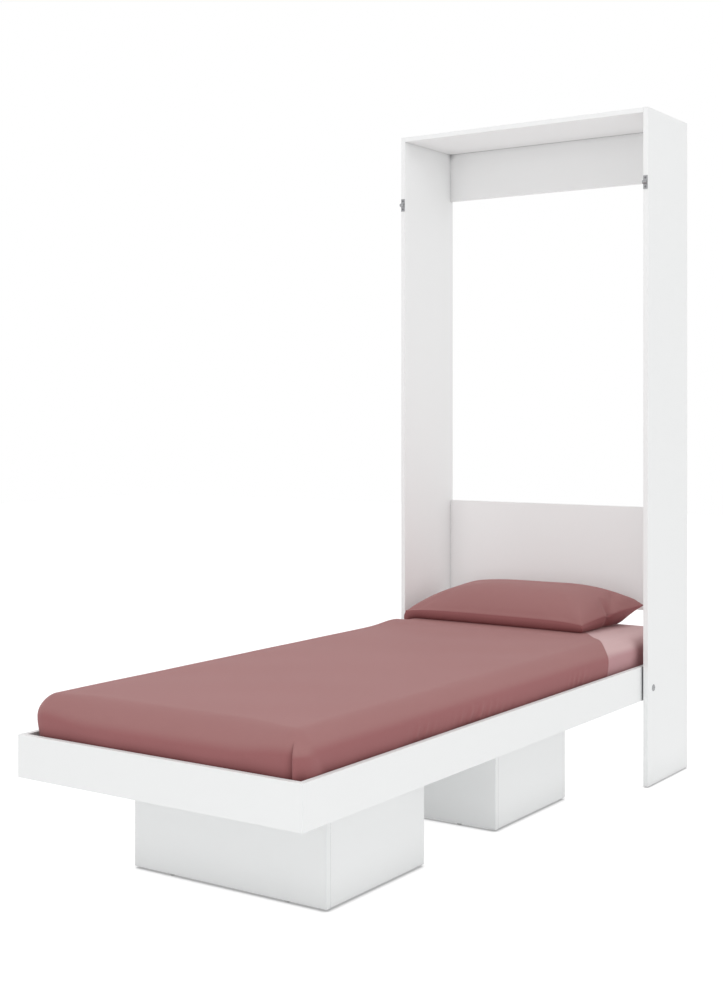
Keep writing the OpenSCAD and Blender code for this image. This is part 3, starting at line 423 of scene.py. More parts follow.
zinc_steel = metal("zinc_steel", (0.36, 0.365, 0.375, 1), 0.26, 0.30, 1400,
                   (0.66, 0.66, 0.67, 1))
screw_steel = metal("screw_steel", (0.20, 0.20, 0.21, 1), 0.34, 0.20, 1800,
                    (0.45, 0.45, 0.46, 1))
cam_zinc = metal("cam_zinc", (0.42, 0.43, 0.44, 1), 0.46, 0.20, 900, (0.55, 0.55, 0.56, 1))
yellow_zinc = metal("yellow_zinc", (0.62, 0.50, 0.24, 1), 0.30, 0.35, 1100,
                    (0.75, 0.66, 0.40, 1))
print("four metals")

# %% Plastic finishes
def plastic(name, colour, roughness):
    material, tree, shader = new_material(name)
    skin = use_group(tree, pressed_skin, Colour=colour, Roughness=roughness, Drift=0.05,
                     Skin_Size=1600, Skin_Depth=0.3)
    tree.links.new(skin.outputs["Colour"], shader.inputs["Base Color"])
    tree.links.new(skin.outputs["Roughness"], shader.inputs["Roughness"])
    add_bump(tree, shader, skin.outputs["Height"], 0.3, 0.0002)
    return material


glide_plastic = plastic("glide_plastic", srgb(178, 178, 177), 0.45)
nylon = plastic("nylon", srgb(236, 232, 220), 0.38)
print("two plastics")

# %% Beech dowels
GRAIN_SCALE = (60, 700, 700)

dowel_beech, tree, shader = new_material("dowel_beech")
place = add_node(tree, "ShaderNodeTexCoord").outputs["Object"]
stretch = add_node(tree, "ShaderNodeMapping", {"Vector": place, "Scale": GRAIN_SCALE})
grain = noise(tree, stretch.outputs[0], 1.0, 4.0, 0.6)
wood = blend(tree, grain, srgb(214, 178, 134), srgb(176, 132, 88))
tree.links.new(wood, shader.inputs["Base Color"])
add_bump(tree, shader, grain, 0.3, 0.0003)
shader.inputs["Roughness"].default_value = 0.6
print("beech from", len(tree.nodes), "nodes")

# %% [markdown]
# ## Paint the frame
# The record says which finish each node of the frame takes, so the boards and fittings are
# painted from that list. Nothing of the frame is moved, and its flat faces stay as they are.

# %% Paint
FINISHES = {
    "white_board": white_board, "zinc_steel": zinc_steel, "screw_steel": screw_steel,
    "cam_zinc": cam_zinc, "yellow_zinc": yellow_zinc, "dowel_beech": dowel_beech,
    "glide_plastic": glide_plastic, "nylon": nylon,
}
SOFT_NODES = ("mattress", "fitted_sheet", "bedspread", "pillow")

for part in frame["record"]["subparts"]:
    if part["node"] in SOFT_NODES:
        continue
    solid = nodes[part["node"]]
    solid.data.materials.clear()
    solid.data.materials.append(FINISHES[part["material_slot"]])
print("painted", len(nodes) - len(SOFT_NODES), "nodes of the frame")

# %% [markdown]
# ## Woven cloth
# The sheet, the bedspread and the pillow are plain-woven cotton. A weave is threads going over
# and under each other, so the recipe makes rounded threads in two directions from the cloth's
# own flat coordinates, in metres, which keeps the threads the same size round every fold. Each
# thread is a little thicker or thinner than the next, and the dye drifts slowly over the cloth.

# %% Weave, as a group
weave, given, result = new_group(
    "weave",
    [("Flat", VECTOR, None), ("Thread", FLOAT, 0.0007), ("Colour", COLOUR, (0.5, 0.2, 0.2, 1)),
     ("Gap Shade", FLOAT, 0.2), ("Uneven", FLOAT, 0.1), ("Drift", FLOAT, 0.06)],
    [("Colour", COLOUR), ("Height", FLOAT)])
tree = weave
spread_out = add_node(tree, "ShaderNodeVectorMath", {0: given["Flat"],
                      1: calc(tree, "DIVIDE", math.pi, given["Thread"])}, operation="MULTIPLY")
both = add_node(tree, "ShaderNodeSeparateXYZ", {0: spread_out.outputs[0]})
wobble = calc(tree, "MULTIPLY", noise(tree, given["Flat"], 90.0, 1.0), 2.5)
warp = calc(tree, "SINE", calc(tree, "ADD", both.outputs["X"], wobble))
weft = calc(tree, "SINE", calc(tree, "ADD", both.outputs["Y"], wobble))
crests = calc(tree, "ADD", calc(tree, "ABSOLUTE", warp), calc(tree, "ABSOLUTE", weft))
crests = calc(tree, "MULTIPLY_ADD", calc(tree, "MULTIPLY", warp, weft), 0.5, crests)
crests = calc(tree, "MULTIPLY", crests, 0.4)


def thick_and_thin(stretch):
    """Long streaks, one for each thread, drawn out along it."""
    drawn_out = add_node(tree, "ShaderNodeMapping", {"Vector": given["Flat"], "Scale": stretch})
    return noise(tree, drawn_out.outputs[0], 1.0, 2.0)


uneven = calc(tree, "ADD", thick_and_thin((30, 1400, 1)), thick_and_thin((1400, 30, 1)))
uneven = calc(tree, "SUBTRACT", uneven, 1.0)
cloud = calc(tree, "SUBTRACT", noise(tree, given["Flat"], 3.0, 3.0), 0.5)
tone = calc(tree, "MULTIPLY_ADD", cloud, given["Drift"], 1.0)
tone = calc(tree, "MULTIPLY_ADD", uneven, given["Uneven"], tone)
gap = calc(tree, "MULTIPLY", calc(tree, "SUBTRACT", 0.55, crests), given["Gap Shade"])
toned = add_node(tree, "ShaderNodeVectorMath", {0: given["Colour"],
                 1: calc(tree, "SUBTRACT", tone, gap)}, operation="MULTIPLY")
tree.links.new(toned.outputs[0], result["Colour"])
tree.links.new(calc(tree, "MULTIPLY_ADD", uneven, 0.4, crests), result["Height"])
print("group", weave.name, "with", len(tree.nodes), "nodes")

# %% [markdown]
# A hem is the same cloth folded over and stitched down. The stitches are short dashes of thread
# at one distance from the edge, so the group reads a second flat map that holds the distance
# from the hem and the distance along it, and puts out where a stitch lies and where the thread
# pulls the cloth in.

# %% Stitches along a hem, as a group
STITCH_SHARE = 0.72
PULL_REACH = 0.0022

stitches, given, result = new_group(
    "stitches",
    [("Along Hem", VECTOR, None), ("From Edge", FLOAT, 0.018), ("Length", FLOAT, 0.003),
     ("Width", FLOAT, 0.0005)], [("Mask", FLOAT), ("Pull", FLOAT)])
tree = stitches
hem_place = add_node(tree, "ShaderNodeSeparateXYZ", {0: given["Along Hem"]})
off_line = calc(tree, "SUBTRACT", hem_place.outputs["X"], given["From Edge"])
off_line = calc(tree, "ABSOLUTE", off_line)
on_line = calc(tree, "LESS_THAN", off_line, given["Width"])
step = calc(tree, "FRACT", calc(tree, "DIVIDE", hem_place.outputs["Y"], given["Length"]))
stitch = calc(tree, "MULTIPLY", on_line, calc(tree, "LESS_THAN", step, STITCH_SHARE))
pull = add_node(tree, "ShaderNodeMapRange", {"Value": off_line, "From Min": 0.0,
                "From Max": PULL_REACH, "To Min": 1.0, "To Max": 0.0})
tree.links.new(stitch, result["Mask"])
tree.links.new(pull.outputs["Result"], result["Pull"])
print("group", stitches.name, "with", len(tree.nodes), "nodes")

# %% [markdown]
# Dyed cotton looks paler where it lies flat under the light, because the tips of its fibres
# catch it, and deeper and redder in folds, where the light goes from cloth to cloth. Sheen alone
# only shows that at a low angle, so both are painted into the colour: a painted lighter tone on
# what faces up, and painted shade, a dark red, where cloths lie close. Gloss and sheen stay low,
# as on matt cotton.

# %% Cotton cloth
# normal heights over which the painted lighter tone comes in, then reach and darkest colour of the
# painted shade in folds
FACING_UP = (0.05, 0.60)
FOLD_SHADE_REACH = 0.05
FOLD_SHADE = (0.42, 0.27, 0.27, 1)


def cotton(name, colour, painted_top_light, stitch_colour, thread):
    """Cotton with a painted lighter tone where it faces up, and painted dark red shade where cloths
    lie close.
    """
    material, tree, shader = new_material(name)
    flat = add_node(tree, "ShaderNodeUVMap", uv_map="flat")
    hem = add_node(tree, "ShaderNodeUVMap", uv_map="hem")
    facing = add_node(tree, "ShaderNodeTexCoord")
    facing = add_node(tree, "ShaderNodeSeparateXYZ", {0: facing.outputs["Normal"]})
    # Painted light: the colour goes over to a paler tone where the surface faces up.
    painted_light_share = add_node(tree, "ShaderNodeMapRange", {"Value": facing.outputs["Z"],
                     "From Min": FACING_UP[0], "From Max": FACING_UP[1]},
                     interpolation_type="SMOOTHSTEP")
    dye_and_painted_light = blend(tree, painted_light_share.outputs["Result"], colour, painted_top_light)
    woven = use_group(tree, weave, Flat=flat.outputs[0], Thread=thread, Colour=dye_and_painted_light)
    sewn = use_group(tree, stitches, Along_Hem=hem.outputs[0])
    tint_and_shade = blend(tree, sewn.outputs["Mask"], woven.outputs["Colour"], stitch_colour)
    # Painted shade, a dark red, where cloths lie close.
    tint_and_shade = painted_contact_shade(tree, tint_and_shade, FOLD_SHADE_REACH, (0.0, 0.9), FOLD_SHADE)
    raised = calc(tree, "MULTIPLY_ADD", sewn.outputs["Mask"], 1.5, woven.outputs["Height"])
    raised = calc(tree, "MULTIPLY_ADD", sewn.outputs["Pull"], -1.2, raised)
    tree.links.new(tint_and_shade, shader.inputs["Base Color"])
    add_bump(tree, shader, raised, 0.35, 0.0003)
    shader.inputs["Roughness"].default_value = 0.70
    shader.inputs["Specular IOR Level"].default_value = 0.20
    shader.inputs["Sheen Weight"].default_value = 0.06
    shader.inputs["Sheen Roughness"].default_value = 0.45
    shader.inputs["Sheen Tint"].default_value = (1.0, 0.93, 0.92, 1)
    return material


# The second colour of each cloth is the painted lighter tone of what faces up.
spread_cloth = cotton("spread_cloth", srgb(150, 96, 97), srgb(158, 112, 111),
                      srgb(162, 112, 112), 0.0008)
sheet_cloth = cotton("sheet_cloth", srgb(182, 139, 142), srgb(204, 172, 172),
                     srgb(204, 170, 170), 0.0006)
print("two cottons")

# %% Mattress cover
mattress_cover, tree, shader = new_material("mattress_cover")
flat = add_node(tree, "ShaderNodeUVMap", uv_map="flat")
knit = use_group(tree, weave, Flat=flat.outputs[0], Thread=0.0016, Colour=srgb(232, 230, 225),
                 Gap_Shade=0.25)
tree.links.new(knit.outputs["Colour"], shader.inputs["Base Color"])
add_bump(tree, shader, knit.outputs["Height"], 0.5, 0.0006)
shader.inputs["Roughness"].default_value = 0.85
print("mattress cover from", len(tree.nodes), "nodes")

# %% [markdown]
# ## The mattress's shape, which everything soft follows
# Mattress, fitted sheet and bedspread share one shape, a millimetre apart. So the shape is
# written once, as rules: where the outline runs in plan, which way is outwards there, and how
# the top edge rolls over. The foot end is softer than the sides, as on the real bed. Each soft
# piece is then a plain grid whose points are laid on these rules, row by row.

# %% Sizes of the mattress, from the frame
mattress_low, mattress_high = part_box("mattress")
HALF = mattress_high.x
FOOT = mattress_low.y
HEAD = mattress_high.y
TOP = mattress_high.z
BOTTOM = mattress_low.z
RAIL_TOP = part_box("footboard")[1].z
QUARTER = math.pi / 2
CORNER_R = 0.046
EDGE_R = 0.042
FOOT_EDGE_R = 0.066
LOW_EDGE_R = 0.018
print("mattress", round(2 * HALF, 3), "x", round(HEAD - FOOT, 3), "x", round(TOP - BOTTOM, 3))

# %% Edge and bulge of the mattress
FOOT_EDGE_BLEND = 0.14
BULGE = 0.005
BULGE_BELOW_RAIL = 0.004


def ease(low, high, value):
    """0 below low, 1 above high, and a smooth step between."""
    share = np.clip((value - low) / (high - low), 0, 1)
    return share * share * (3 - 2 * share)


def edge_radius(points, normals):
    """The top edge is rounder along the foot end than along the sides and at the corners."""
    along_foot = ease(0, FOOT_EDGE_BLEND, HALF - CORNER_R - np.abs(points[..., 0]))
    return EDGE_R + (FOOT_EDGE_R - EDGE_R) * along_foot * (normals[..., 1] < -0.99)


def bulge(height):
    """Above the rails the foam swells out a little, most of all half way up."""
    climbed = np.clip((height - RAIL_TOP + BULGE_BELOW_RAIL) / (TOP - RAIL_TOP), 0, 1)
    return BULGE * np.sin(math.pi * climbed) ** 1.5


# %% [markdown]
# No bed that has been made by hand is flat on top. It is lofty in front of the pillow and pressed
# down under it, slow swells run over it, and where the pillow was pushed into place the cloth is
# rucked up a little at its left end. The swells are a sum of waves in random directions, drawn
# from a fixed seed, so they come out the same every time.

# %% Height of the top of the bed
WAVES_EACH = 5
LOFT = 0.004
LOFT_ENDS = 0.60
SWELLS = (0.55, 0.30)
SWELL_RISE = 0.0010
SWELL_DEPTH = 0.0014
RUCK_X = -0.35
RUCK_Y = 0.50
RUCK_WIDTH = 0.07
RUCK_HEIGHT = 0.008


def ripples(x, y, sizes, seed):
    """A smooth, uneven field of about -1 to 1, from waves of these lengths."""
    dice = np.random.default_rng(seed)
    field = np.zeros(np.broadcast(x, y).shape)
    for size in sizes:
        for _ in range(WAVES_EACH):
            angle, phase = dice.uniform(0, 2 * math.pi, 2)
            length = size * dice.uniform(0.75, 1.3)
            ahead = x * math.cos(angle) + y * math.sin(angle)
            field += np.cos(2 * math.pi * ahead / length + phase)
    return field / (1.6 * math.sqrt(WAVES_EACH * len(sizes) / 2))


def heave(x, y):
    """How far the top of the bed stands above the plain mattress at this place."""
    before_pillow = ease(0, 0.10, LOFT_ENDS - y)
    inside = ease(0, 0.13, HALF - np.abs(x)) * ease(0, 0.16, y - FOOT) * before_pillow
    ruck = np.exp(-((y - RUCK_Y) / RUCK_WIDTH) ** 2 - ((x - RUCK_X) / RUCK_WIDTH) ** 2)
    return (LOFT * before_pillow + inside * (SWELL_RISE + SWELL_DEPTH * ripples(x, y, SWELLS, 11))
            + RUCK_HEIGHT * ruck)


print("the ruck is", round(1000 * float(heave(RUCK_X, RUCK_Y) - heave(-RUCK_X, RUCK_Y)), 1),
      "mm higher than the other side")

# %% [markdown]
# A soft piece starts as a grid with as many rows and columns as the rules give points. Its
# points are moved into place, and two flat maps go with it: one is the cloth laid flat, in
# metres, for the weave, and the other holds the way to the hem, for the stitches.

# %% Laying a grid on rows of points
WELD = 0.00001


def laid_grid(name, points, flat_map, hem_map):
    """A grid whose points are laid at points[row, column], with two flat maps in metres."""
    rows, columns = points.shape[:2]
    bpy.ops.object.select_all(action="DESELECT")
    bpy.ops.mesh.primitive_grid_add(x_subdivisions=columns - 1, y_subdivisions=rows - 1, size=1)
    piece = bpy.context.object
    piece.name = name
    mesh = piece.data
    place = np.empty(3 * len(mesh.vertices))
    mesh.vertices.foreach_get("co", place)
    place = place.reshape(-1, 3)
    column = np.rint((place[:, 0] + 0.5) * (columns - 1)).astype(int)
    row = np.rint((place[:, 1] + 0.5) * (rows - 1)).astype(int)
    mesh.vertices.foreach_set("co", points[row, column].ravel())
    corner_point = np.empty(len(mesh.loops), dtype=np.int32)
    mesh.loops.foreach_get("vertex_index", corner_point)
    for label, values in (("flat", flat_map), ("hem", hem_map)):
        layer = mesh.uv_layers.new(name=label)
        layer.data.foreach_set("uv", values[row, column][corner_point].ravel())
    mesh.uv_layers.remove(mesh.uv_layers["UVMap"])
    mesh.update()
    return piece


def joined(right, left, sign):
    """A grid of the right half, and the left half turned over, whose columns run back."""
    return np.concatenate([right, left[:, ::-1][:, 1:] * np.array(sign)], axis=1)


def weld_and_smooth(piece):
    bpy.ops.object.mode_set(mode="EDIT")
    bpy.ops.mesh.select_all(action="SELECT")
    bpy.ops.mesh.remove_doubles(threshold=WELD)
    bpy.ops.mesh.dissolve_degenerate(threshold=WELD)
    bpy.ops.mesh.select_all(action="SELECT")
    bpy.ops.mesh.normals_make_consistent(inside=False)
    bpy.ops.object.mode_set(mode="OBJECT")
    bpy.ops.object.shade_smooth()


def thicken(piece, thickness):
    wall = piece.modifiers.new("thickness", "SOLIDIFY")
    wall.thickness = thickness
    wall.offset = 0
    bpy.ops.object.modifier_apply(modifier="thickness")


# %% [markdown]
# ## Mattress and fitted sheet
# Both go all the way round: a column of points starts under the mattress, climbs the side, rolls
# over the top edge and runs to the middle line. The outline is walked from the middle of the
# head end, round the right side, to the middle of the foot end, and the left half is its mirror
# image. The mattress closes underneath. The fitted sheet stops a hand's width in, where its
# elastic would be.

# %% Half of the outline
def half_outline(across, round_corner, along, crowd=1.0):
    """Points in plan, the way outwards at each, and how far along the middle line each aims."""
    to_corner = np.linspace(0, HALF - CORNER_R, across)
    turn = np.linspace(QUARTER, 0, round_corner)
    straight = HEAD - FOOT - 2 * CORNER_R
    middle_head = HEAD - HALF
    middle_foot = FOOT + HALF

    def round_the_corner(angle, centre_y, way, middle):
        normal = (math.cos(angle), way * math.sin(angle))
        return (HALF - CORNER_R + CORNER_R * normal[0], centre_y + CORNER_R * normal[1],
                *normal, middle)

    rows = [(x, HEAD, 0, 1, middle_head) for x in to_corner[:-1]]
    rows += [round_the_corner(angle, HEAD - CORNER_R, 1, middle_head) for angle in turn[:-1]]
    for y in (HEAD - CORNER_R - straight * np.linspace(0, 1, along) ** crowd)[:-1]:
        share = (HEAD - CORNER_R - y) / straight
        rows.append((HALF, y, 1, 0, middle_head + (middle_foot - middle_head) * share))
    rows += [round_the_corner(angle, FOOT + CORNER_R, -1, middle_foot)
             for angle in turn[::-1][:-1]]
    rows += [(x, FOOT, 0, -1, middle_foot) for x in to_corner[::-1]]
    table = np.array(rows)
    return table[:, 0:2], table[:, 2:4], table[:, 4]


# %% [markdown]
# The sheet is gathered in two places. Its corners are sewn and pulled in by the elastic, so fine
# gathers run round each corner. And on the sides near the head, where no bedspread holds it, it
# hangs in wider and softer ones.

# %% Rows round the mattress
CORNER_GATHER = 0.011
SIDE_GATHER = 0.029
# y from where no bedspread lies on the sheet, on the right and on the left
BARE_FROM = {1: 0.49, -1: 0.63}
MAP_SHIFT = 3.0


def round_the_mattress(outline, side, out, under, steps, gathers):
    """Rows from under the mattress, up the side and over the top, held off by out. They are
    drawn on the right, and side is -1 where they are meant for the left."""
    points, normals, middle_y = outline
    radius = edge_radius(points, normals)
    along = np.concatenate([[0], np.cumsum(np.linalg.norm(np.diff(points, axis=0), axis=1))])
    in_corner = np.minimum(np.abs(normals[:, 0]), np.abs(normals[:, 1]))
    bare = ease(BARE_FROM[side], BARE_FROM[side] + 0.05, points[:, 1])
    by_head = 0.5 * bare * np.abs(normals[:, 0]) ** 4
    rows, maps = [], []

    def add_row(inset, height, climbed):
        rows.append(np.column_stack([points - normals * (inset - bulge(height))[:, None], height]))
        maps.append(np.column_stack([along, climbed]))

    def add_flat(share, height, on_top):
        start = points - normals * (radius[:, None] if on_top else LOW_EDGE_R)
        target = np.column_stack([np.zeros(len(points)), middle_y])
        place = start + (target - start) * share
        lift = heave(side * place[:, 0], place[:, 1]) * on_top
        rows.append(np.column_stack([place, height + lift]))
        maps.append(place + np.array([MAP_SHIFT, MAP_SHIFT if on_top else -MAP_SHIFT]))

    for share in np.linspace(under, 0, steps[0])[:-1]:
        add_flat(share, BOTTOM - out, False)
    for angle in np.linspace(0, QUARTER, steps[1])[:-1]:
        reach = LOW_EDGE_R + out + 0 * radius
        add_row(LOW_EDGE_R - reach * math.sin(angle),
                BOTTOM + LOW_EDGE_R - reach * math.cos(angle), reach * angle)
    for share in np.linspace(0, 1, steps[2])[:-1]:
        height = BOTTOM + LOW_EDGE_R + (TOP - radius - BOTTOM - LOW_EDGE_R) * share
        fold = in_corner * 1.4 * (1 + np.sin(along * 2 * math.pi / CORNER_GATHER)) / 2
        fold = fold + by_head * (1 + np.sin(along * 2 * math.pi / SIDE_GATHER + 30 * height)) / 2
        fold = fold * gathers * math.sin(math.pi * min(1, share + 0.15))
        add_row(-out - fold, height, 0.03 + height - BOTTOM)
    for angle in np.linspace(QUARTER, 0, steps[3])[:-1]:
        reach = radius + out
        inset = radius - reach * math.sin(angle)
        spot = points - normals * inset[:, None]
        lift = heave(side * spot[:, 0], spot[:, 1]) * (1 - angle / QUARTER)
        add_row(inset, TOP - radius + reach * math.cos(angle) + lift,
                0.03 + TOP - radius - BOTTOM + reach * (QUARTER - angle))
    for share in np.linspace(0, 1, steps[4]) ** 0.9:
        add_flat(share, TOP + out, True)
    return np.array(rows), np.array(maps)


def wrapped(name, outline, out, under, steps, gathers=0.0):
    """A whole piece round the mattress. It has no hem, so its hem map stays far from one."""
    right, maps = round_the_mattress(outline, 1, out, under, steps, gathers)
    left, _ = round_the_mattress(outline, -1, out, under, steps, gathers)
    flat_map = joined(maps, maps, (-1, 1))
    return laid_grid(name, joined(right, left, (-1, 1, 1)), flat_map, np.ones_like(flat_map))


# %% The mattress
mattress_body = wrapped("mattress_body", half_outline(14, 8, 48), -0.0006, 1.0,
                        (10, 6, 12, 8, 12))
weld_and_smooth(mattress_body)
mattress_body.data.materials.append(mattress_cover)
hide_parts("mattress")
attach(mattress_body, "bed")
print("mattress", len(mattress_body.data.polygons), "faces")

# %% [markdown]
# The sheet's cut size follows from the mattress: its top, its height down every side, and the
# turn-under that the elastic holds.

# %% The fitted sheet
SHEET_T = 0.0006

fitted = wrapped("fitted_sheet_cloth", half_outline(34, 16, 130, crowd=1.6), 0.0008, 0.16,
                 (6, 6, 20, 9, 26), gathers=0.0016)
weld_and_smooth(fitted)
thicken(fitted, SHEET_T)
fitted.data.materials.append(sheet_cloth)
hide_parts("fitted_sheet")
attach(fitted, "bed")

# %% [markdown]
# ## The bedspread
# The bedspread is one cloth, laid over the foot end and tucked in on three sides. At each foot
# corner the spare cloth is folded away: the side's cloth wraps round the corner, ends in an
# upright fold, turns back under itself, and comes forward again as the foot's cloth. On the
# right the fold stands on the corner itself and flares out a little. How much is folded away
# follows from the cloth being flat: going down from the top edge, a ring of it gets longer by a
# quarter turn of how far it has gone.

# %% Where the cloth goes in plan
CORNER_LENGTH = CORNER_R * QUARTER
RIGHT_FOLD_AT = 0.64 * CORNER_LENGTH
LEFT_FOLD_AT = 0.20 * CORNER_LENGTH
TUCK_Z = BOTTOM + 0.004
CLOTH_OUT = 0.0022
CLOTH_T = 0.0012
HEM_Y = HEAD - 0.210
HEM_SWEEP = 0.235
LEFT_SWEEP = 0.4 * HEM_SWEEP


def plan_at(distance):
    """Point and outward direction at this distance round the foot corner from its start."""
    turn = np.clip(distance / CORNER_R, 0, QUARTER)
    normal = np.stack([np.cos(turn), -np.sin(turn)], axis=-1)
    point = np.array([HALF - CORNER_R, FOOT + CORNER_R]) + CORNER_R * normal
    point[..., 1] += np.maximum(0, -distance)
    point[..., 0] -= np.maximum(0, distance - CORNER_LENGTH)
    return point, normal


def hem_line(inset, height, left):
    """Where the hem runs, by how far along the cloth it is from the middle line. It is straight
    under the pillow and swept back towards the foot on the right, less and later on the left."""
    off_middle = (HALF - inset + TOP - height) / HALF
    if left:
        return HEM_Y - LEFT_SWEEP * ease(0.9, 1.25, off_middle)
    return HEM_Y - HEM_SWEEP * ease(0.385, 1.077, off_middle)


print("round the corner", round(CORNER_LENGTH, 3), "m")

# %% [markdown]
# The half cloth is walked from the hem by the pillow, along the side, round the corner, through
# the fold and along the foot. Each column belongs to one of these zones and has a share of the
# way through it, so the same columns fit every row, however deep the fold is there.

# %% Columns of the half cloth, from the right hem to the middle of the foot
HEM_STEPS = (0, 0.002, 0.006, 0.011, 0.015, 0.0165, 0.018, 0.0195, 0.021, 0.025, 0.032)
SIDE_LENGTH = HEM_Y - FOOT - CORNER_R
from_hem = np.concatenate([HEM_STEPS, np.linspace(0.042, SIDE_LENGTH, 240)])
columns = [("side", share) for share in 1 - from_hem / SIDE_LENGTH]
columns += [("corner", share) for share in np.linspace(0, 1, 13)[1:]]
columns += [("outer_fold", 0.5)]
columns += [("middle", share) for share in np.linspace(0, 1, 12)]
columns += [("inner_fold", 0.5)]
columns += [("inner", share) for share in np.linspace(0, 1, 14)]
columns += [("foot", share) for share in np.linspace(0, 1, 46)[1:] ** 1.4]
zone = np.array([column[0] for column in columns])
share = np.array([column[1] for column in columns])
on_side = zone == "side"
hem_distance = np.where(on_side, (1 - share) * SIDE_LENGTH, 1.0)
print("half the bedspread has", len(columns), "columns")

# %% [markdown]
# In the fold three layers lie on each other: the foot's cloth inside, the cloth that turns back,
# and the side's cloth outside. A column's layer says how many thicknesses it is held out, and
# where the fold is still shallow, near the top edge, the layers run together.

# %% Places and layers of the columns
LAYER = 0.0020
FLARE = 0.0105
FLARE_WIDTH = 0.045
LAYERS_RISE = 0.035
FOLD_BEND = 0.0009
FULL_FOLD = 0.012


def column_places(fold, inset, height, left):
    """Distance round the outline and layer of every column, in a row whose fold is this deep."""
    place = np.zeros(len(columns))
    layer = np.zeros(len(columns))
    cloth = np.zeros(len(columns))
    deep = min(1, fold / FULL_FOLD)
    fold_at = LEFT_FOLD_AT if left else RIGHT_FOLD_AT
    hem = hem_line(inset[on_side], height[on_side], left)
    place[on_side] = -share[on_side] * (hem - FOOT - CORNER_R)
    cloth[on_side] = place[on_side]
    corner = zone == "corner"
    place[corner] = share[corner] * fold_at
    cloth[corner] = place[corner]
    outside = on_side | corner
    start = fold_at - fold
    flare = 0 if left else FLARE / LAYER * deep
    layer[outside] = 2 * deep * ease(start - LAYERS_RISE, start + 0.004, place[outside])
    layer[outside] += flare * ease(fold_at - FLARE_WIDTH, fold_at, place[outside])
    pick = zone == "outer_fold"
    place[pick], layer[pick] = fold_at + FOLD_BEND * deep, 1.5 * deep + flare
    cloth[pick] = fold_at
    pick = zone == "middle"
    place[pick], cloth[pick] = fold_at - share[pick] * fold, fold_at + share[pick] * fold
    layer[pick] = deep + flare * ease(fold_at - FLARE_WIDTH, fold_at, place[pick])
    pick = zone == "inner_fold"
    place[pick], layer[pick] = start - FOLD_BEND * deep, 0.5 * deep
    cloth[pick] = fold_at + fold
    pick = zone == "inner"
    place[pick] = start + share[pick] * fold
    cloth[pick] = fold_at + fold + share[pick] * fold
    pick = zone == "foot"
    place[pick] = fold_at + share[pick] * (CORNER_LENGTH - fold_at + HALF - CORNER_R)
    cloth[pick] = place[pick] + 2 * fold
    return place, layer, cloth


# %% [markdown]
# Two kinds of folds come up from the tuck. Soft ones stand all along the sides and fade towards
# the top edge. In a few places a hand has pushed the cloth down hard behind the rail, and there
# it is pinched into tight tucks just above it.

# %% Folds above the tuck
SOFT_FOLDS = (0.21, 0.10)
NARROW_FOLDS = (0.045,)
SOFT_FOLD_MOST = 0.0042
TUCK_WAVE = 0.036
TUCK_DEPTH = 0.0052
# y of the middle, spread along the side and strength
TIGHT_TUCKS = ((-0.25, 0.085, 1.0), (-0.50, 0.05, 0.6), (0.29, 0.06, 0.6))


def cloth_flat(cloth, radius, run):
    """Where a point lies on the flat cloth: run is how far it is past the start of the edge."""
    ring = CORNER_R - radius + run
    turn = np.clip(cloth / ring, 0, QUARTER)
    u = HALF - CORNER_R + ring * np.cos(turn) - np.maximum(0, cloth - ring * QUARTER)
    v = FOOT + CORNER_R - ring * np.sin(turn) + np.maximum(0, -cloth)
    return np.column_stack([u, v])


def side_folds(place, height):
    """How far the folds stand out at this distance round the outline and this height."""
    low = ease(0.0, 0.11, TOP - 0.035 - height)
    calm = 1 - 0.85 * ease(0.14, 0.03, np.abs(place - CORNER_LENGTH * 0.6))
    slant = place + 0.25 * (height - BOTTOM)
    wave = ripples(slant, 0.35 * height, SOFT_FOLDS, 5)
    narrow_here = ease(-0.1, 0.9, ripples(place, 0 * place, (0.4,), 3))
    narrow = ripples(slant, 0.2 * height, NARROW_FOLDS, 8) * narrow_here
    soft = low * calm * (0.0014 + 0.0018 * wave + 0.0012 * narrow)
    above_rail = height - RAIL_TOP
    pinched = ease(-0.004, 0.010, above_rail) * ease(0.055, 0.012, above_rail)
    y = FOOT + CORNER_R - place
    tight = sum(strength * np.exp(-((y - middle) / spread) ** 2)
                for middle, spread, strength in TIGHT_TUCKS)
    wander = 2.5 * ripples(place, 0 * place, (0.22,), 4)
    tuck = np.maximum(0, np.sin(slant * 2 * math.pi / TUCK_WAVE + wander)) ** 1.5
    return np.minimum(soft, SOFT_FOLD_MOST) + TUCK_DEPTH * pinched * tight * tuck


# %% [markdown]
# The rows go up the side, round the edge and over the top to the middle line. How deep the fold
# is in a row follows from how far down it is. The edge's radius in turn depends on where the
# columns land, so place and radius are found in three rounds.

# %% Rows of the half cloth, from the tuck over the edge to the middle line
SIDE_ROWS = 30
EDGE_ROWS = 12
TOP_ROWS = 28
ROUNDS = 3
FOLD_STARTS = 0.005
HEM_RISE = 0.0006


